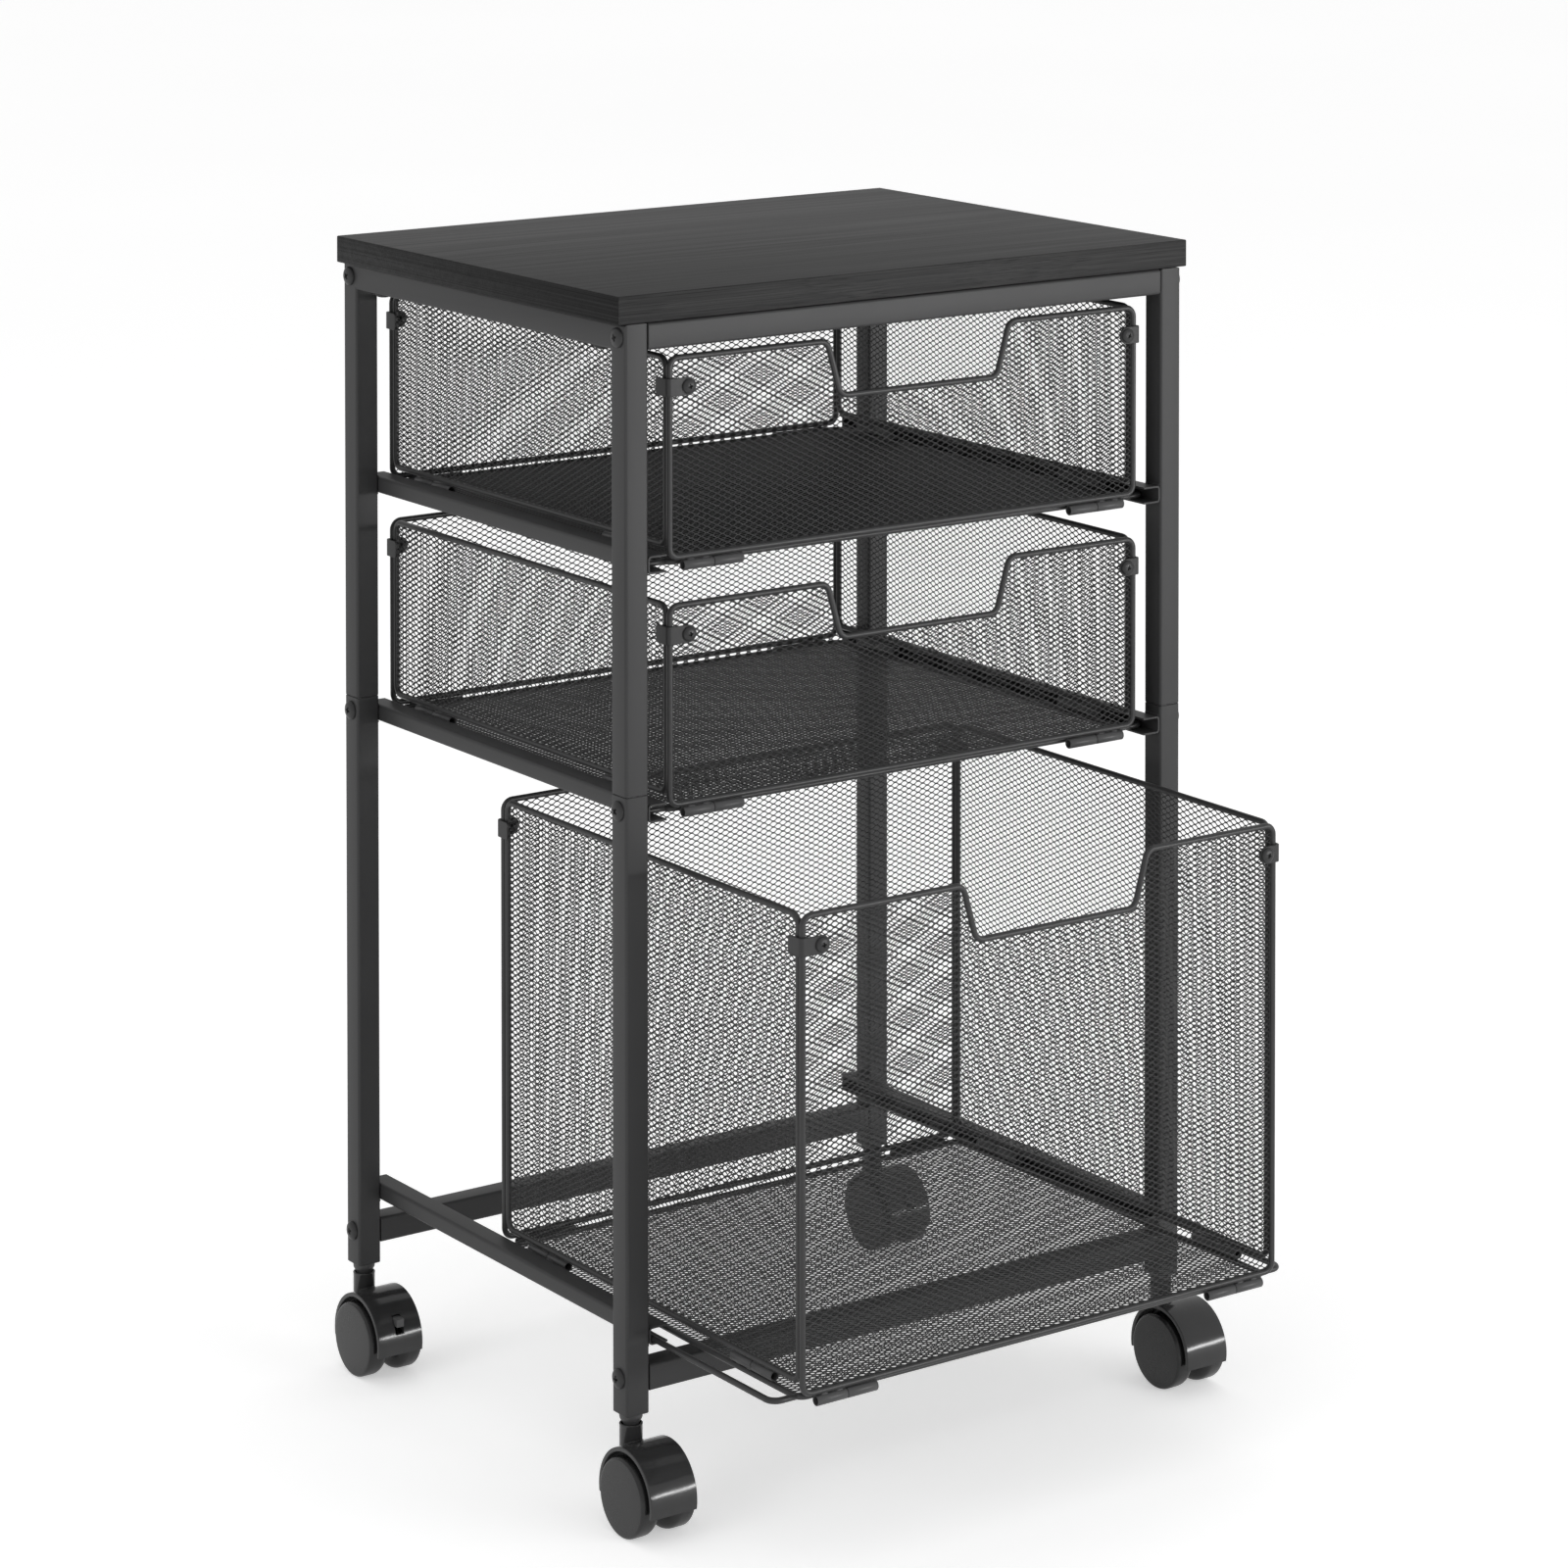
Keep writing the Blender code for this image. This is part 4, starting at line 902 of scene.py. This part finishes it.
def clip(tag, place_word, body, side, end, y, top, half_w, run, side_leg=12.0, height=10.0, thick=1.2):
    """A strap round an upright corner: the front leg ends round about its screw, the side leg ends square with eased corners."""
    zk = top - 15.8
    outer_x = half_w + WIRE_R + 0.3 + thick
    outer_y = y + end * (WIRE_R + 0.3 + thick)
    bend = 1.9
    # centre line of the strap, from the end of the front leg round to the end of the side leg
    mid_x, mid_y = outer_x - thick / 2, thick / 2
    line = filleted([(outer_x - run, mid_y, 0), (mid_x, mid_y, 0), (mid_x, side_leg, 0)], [0, bend, 0], 8, False)
    pts = [Vector(p) for p in line]
    # extra stations where the front leg rounds off
    round_r = height / 2
    u_start = [outer_x - run + round_r * (1 - math.cos(math.radians(a))) for a in (0, 12, 24, 36, 48, 60, 75, 90)]
    stations_ = [(Vector((u, mid_y, 0)), round_r * math.sin(math.radians(a))) for u, a in zip(u_start, (0, 12, 24, 36, 48, 60, 75, 90))]
    stations_ += [(p, round_r) for p in pts[1:-1]]
    tail = 1.2
    for k, a in enumerate((0, 30, 60, 90)):
        dy = side_leg - tail + tail * math.sin(math.radians(a))
        stations_.append((Vector((mid_x, dy, 0)), round_r - tail * (1 - math.cos(math.radians(a)))))
    rows = []
    for i, (p, h) in enumerate(stations_):
        q = stations_[i + 1][0] if i + 1 < len(stations_) else p
        o = stations_[i - 1][0] if i > 0 else p
        t = (q - o).normalized()
        n = Vector((t.y, -t.x, 0))           # outward: away from the basket
        h = max(h, 0.6)
        for off, hh in ((thick / 2, h - 0.22), (thick / 2 - 0.2, h), (-thick / 2 + 0.2, h), (-thick / 2, h - 0.22)):
            w = p + n * off
            rows.append((w.x, w.y, hh))
        for off, hh in ((-thick / 2, -h + 0.22), (-thick / 2 + 0.2, -h), (thick / 2 - 0.2, -h), (thick / 2, -h + 0.22)):
            w = p + n * off
            rows.append((w.x, w.y, hh))
    m = 8
    faces = [tuple(range(m - 1, -1, -1)), tuple((len(stations_) - 1) * m + k for k in range(m))]
    for i in range(len(stations_) - 1):
        for k in range(m):
            k2 = (k + 1) % m
            faces.append((i * m + k, i * m + k2, (i + 1) * m + k2, (i + 1) * m + k))
    world = [(side * px, outer_y - end * py * 1.0, zk + pz) for px, py, pz in rows]
    shape = Shape()
    shape.add(world, faces)
    shape.piece(f"{tag}_corner_clip_{place_word}", CLIP, body, "frame_steel", [f"{tag}_clip_{place_word}"], angle=40)
    return (side * (outer_x - run + round_r), outer_y, zk)


def basket(tag):
    lo, hi = box_mm(f"{tag}_front_panel")
    rlo, rhi = box_mm(f"{tag}_rear_panel")
    yf, yr = (lo[1] + hi[1]) / 2, (rlo[1] + rhi[1]) / 2
    half_w = hi[0] - WIRE_R
    top = hi[2] - WIRE_R
    zc = CHANNEL_Z[tag]
    side_x = half_w - 0.3
    zb = zc - 1.95
    end_low, side_low = zc + 1.5, zc + 8.0
    base_x, runner_x = 162.0, 177.15
    y0, y1 = yf + 5.3, yr - 5.3

    # base: round-cornered wire, runner loops on both sides
    base = Shape()
    corners = [(-base_x, y0, zb), (base_x, y0, zb), (base_x, y1, zb), (-base_x, y1, zb)]
    base_path = filleted(corners, [CORNER_R] * 4)
    wire(base, base_path, WIRE_R, (0, 0, 1), True)
    for side in (-1, 1):
        loop = [(side * (base_x - 0.6), y0 + 3.0, zb), (side * runner_x, y0 + 3.0, zb), (side * runner_x, y1 - 3.0, zb), (side * (base_x - 0.6), y1 - 3.0, zb)]
        wire(base, filleted(loop, [0, 6.0, 6.0, 0], 7, False), WIRE_R, (0, 0, 1), False)

    walls = {"front": Shape(), "rear": Shape(), "left": Shape(), "right": Shape()}
    knuckles = {k: Shape() for k in walls}
    base_knuckles = Shape()
    for end, word, y, wire_y in ((-1, "front", yf, y0), (1, "rear", yr, y1)):
        zk = zc - 3.35
        for side in (-1, 1):
            mid = (side * 135.2, y, zk)
            barrel(knuckles[word], base_knuckles, mid, (side, 0, 0), (0, end, 0))
            for u in (0.25, 0.8):
                bead(knuckles[word], (side * (135.2 + u * 18) - 1.3, y, (zk + end_low) / 2 + 0.35), (side * (135.2 + u * 18) + 1.3, y, (zk + end_low) / 2 + 0.35), 1.15, 8, 3)
                bead(base_knuckles, (side * (135.2 - u * 18) - 1.3, (y + wire_y) / 2, zk + 1.6), (side * (135.2 - u * 18) + 1.3, (y + wire_y) / 2, zk + 1.6), 1.1, 8, 3)
    for side, word in ((-1, "left"), (1, "right")):
        xk, zk = side * 162.2, zc + 3.0
        for end, near in ((-1, yf), (1, yr)):
            mid = (xk, near - end * 47.5, zk)
            barrel(knuckles[word], base_knuckles, mid, (0, end, 0), (side, 0, 0))
            for u in (0.25, 0.8):
                yy = mid[1] + end * u * 18
                bead(knuckles[word], (xk, yy - 1.3, (zk + side_low) / 2 + 0.3), (xk, yy + 1.3, (zk + side_low) / 2 + 0.3), 1.1, 8, 3)
                yy = mid[1] - end * u * 18
                bead(base_knuckles, (xk, yy - 1.3, (zk + zb) / 2 - 0.2), (xk, yy + 1.3, (zk + zb) / 2 - 0.2), 1.1, 8, 3)
    base.piece(f"{tag}_base_wires", WIRE, tag, "basket_wire", [f"{tag}_base"], angle=45)
    base_knuckles.piece(f"{tag}_base_barrels", BARREL_PAINTED_HIGHLIGHT, tag, "basket_wire", angle=40)
    for word, shape in knuckles.items():
        shape.piece(f"{tag}_{word}_barrels", BARREL_PAINTED_HIGHLIGHT, tag, "basket_wire", angle=40)
    expanded_sheet(f"{tag}_floor_mesh", [p[:2] for p in base_path], Matrix.Translation((0, 0, zb)), tag, 0.4)

    for word, y in (("front", yf), ("rear", yr)):
        if word == "front":
            flat = [(-half_w, end_low), (half_w, end_low), (half_w, top), (71.7, top), (62.5, top - 31.6), (-48.0, top - 31.6), (-57.2, top), (-half_w, top)]
            radii = [CORNER_R] * 3 + [NOTCH_R] * 4 + [CORNER_R]
        else:
            flat = [(-half_w, end_low), (half_w, end_low), (half_w, top), (-half_w, top)]
            radii = [CORNER_R] * 4
        path = filleted([(u, v, 0) for u, v in flat], radii)
        shape = walls[word]
        wire(shape, [(u, y, v) for u, v, _ in path], WIRE_R, (0, 1, 0), True)
        shape.piece(f"{tag}_{word}_wire", WIRE, tag, "basket_wire", [f"{tag}_{word}_panel"], angle=45)
        plane = Matrix(((1, 0, 0, 0), (0, 0, -1, y), (0, 1, 0, 0), (0, 0, 0, 1)))
        expanded_sheet(f"{tag}_{word}_mesh", [p[:2] for p in path], plane, tag, 1.1 if word == "front" else 2.3)
    for side, word in ((-1, "left"), (1, "right")):
        x = side * side_x
        ya, yb = yf + 3.8, yr - 3.8
        path = filleted([(ya, side_low, 0), (yb, side_low, 0), (yb, top, 0), (ya, top, 0)], [CORNER_R] * 4)
        shape = walls[word]
        wire(shape, [(x, u, v) for u, v, _ in path], WIRE_R, (1, 0, 0), True)
        shape.piece(f"{tag}_{word}_wire", WIRE, tag, "basket_wire", [f"{tag}_{word}_panel"], angle=45)
        plane = Matrix(((0, 0, side, x), (1, 0, 0, 0), (0, 1, 0, 0), (0, 0, 0, 1)))
        expanded_sheet(f"{tag}_{word}_mesh", [p[:2] for p in path], plane, tag, 0.7 if side > 0 else 1.9)

    # corner clips with their screws
    screws = Shape()
    turn = 8
    for side, side_word in ((-1, "left"), (1, "right")):
        for end, end_word, y in ((-1, "front", yf), (1, "rear", yr)):
            run = 19.0 if (side, end) == (-1, -1) else 15.0
            at = clip(tag, f"{end_word}_{side_word}", tag, side, end, y, top, half_w, run)
            put_screw(screws, at, (0, end, 0), "clip", turn, (4.3, 2.1, 1.6, 6.0))
            turn += 29
    screws.piece(f"{tag}_clip_screws", SCREW, tag, "frame_steel", angle=38)


for tag in ("upper_drawer", "middle_drawer", "file_basket"):
    basket(tag)

# ============================================================ CAD nodes that stay in view
for name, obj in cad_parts.items():
    if obj.hide_render:
        continue
    for slot in obj.material_slots:
        slot.material = ZINC
    if not obj.material_slots:
        obj.data.materials.append(ZINC)

# ============================================================ floor, light and camera
floor_mesh = bpy.data.meshes.new("studio_floor")
floor_mesh.from_pydata([(-30, -30, 0), (30, -30, 0), (30, 30, 0), (-30, 30, 0)], [], [(0, 1, 2, 3)])
floor = bpy.data.objects.new("studio_floor", floor_mesh)
scene.collection.objects.link(floor)
pale = Nodes("pale_floor")
floor_mesh.materials.append(pale.done(pale.ramp(pale.noise(0.6, 2.0), [(0.3, (0.88, 0.88, 0.88)), (0.7, (0.90, 0.90, 0.90))]), 0.8, None,
                                      Specular_IOR_Level=0.15, Emission_Color=(1.0, 1.0, 1.0, 1.0)))
# like the backdrop, the floor shows a little lighter than it lights
ray = pale.new("ShaderNodeLightPath")
pale.link(pale.spread(ray.outputs["Is Camera Ray"], 0.22, 0.42, 0.0, 1.0), pale.bsdf.inputs["Emission Strength"])

world = bpy.data.worlds.new("studio")
scene.world = world
world.use_nodes = True
background = world.node_tree.nodes["Background"]
background.inputs["Color"].default_value = (1.0, 1.0, 1.0, 1.0)
# the backdrop itself reads as white paper, and lights the stand less than it shows
seen = world.node_tree.nodes.new("ShaderNodeLightPath")
level = world.node_tree.nodes.new("ShaderNodeMapRange")
level.inputs["To Min"].default_value = 0.62
level.inputs["To Max"].default_value = 1.0
world.node_tree.links.new(seen.outputs["Is Camera Ray"], level.inputs["Value"])
world.node_tree.links.new(level.outputs["Result"], background.inputs["Strength"])


def softbox(name, at, target, width, height, power, shines=False):
    data = bpy.data.lights.new(name, "AREA")
    data.shape = "RECTANGLE"
    data.size, data.size_y = width, height
    data.energy = power
    lamp = bpy.data.objects.new(name, data)
    scene.collection.objects.link(lamp)
    lamp.location = at
    lamp.visible_glossy = shines      # only the low panel shows as a stripe on the glossy casters
    lamp.rotation_mode = "QUATERNION"
    lamp.rotation_quaternion = (Vector(target) - Vector(at)).to_track_quat("-Z", "Y")
    return lamp


centre = (cad_low + cad_high) / 2
softbox("key", (0.9, -3.2, 1.9), centre, 1.6, 1.6, 14)
softbox("fill", (-3.2, -0.6, 1.5), centre, 1.8, 1.8, 22)
softbox("top", (0.2, 0.4, 3.2), centre, 2.4, 2.4, 6)
softbox("low", (1.85, -2.80, 0.46), (0.0, -0.1, 0.05), 1.8, 0.26, 30, True)

camera_data = bpy.data.cameras.new("camera")
camera = bpy.data.objects.new("camera", camera_data)
scene.collection.objects.link(camera)
camera.location = (-1.60465, -2.3385 + FRAME_Y * MM, FRAME_TOP * MM + 0.3947)
YAW, PITCH = math.radians(35.73), math.radians(1.85)
look = Vector((math.sin(YAW) * math.cos(PITCH), math.cos(YAW) * math.cos(PITCH), -math.sin(PITCH)))
camera.rotation_mode = "QUATERNION"
camera.rotation_quaternion = look.to_track_quat("-Z", "Y")
camera_data.sensor_width = 36.0
camera_data.lens = 4885.6 / 1600 * 36.0
camera_data.clip_start, camera_data.clip_end = 0.05, 200
# the lens is raised, as on a view camera, only while the camera stands at its own place
for prop, amount in (("shift_x", (800 - 883.9) / 1600), ("shift_y", (-250 - 800) / 1600)):
    driver = camera_data.driver_add(prop).driver
    variable = driver.variables.new()
    variable.name = "x"
    variable.targets[0].id = camera
    variable.targets[0].data_path = "location[0]"
    driver.expression = f"{amount:.6f} if abs(x + 1.60465) < 0.0005 else 0.0"
scene.camera = camera
scene.view_settings.view_transform = "Standard"
scene.view_settings.look = "None"
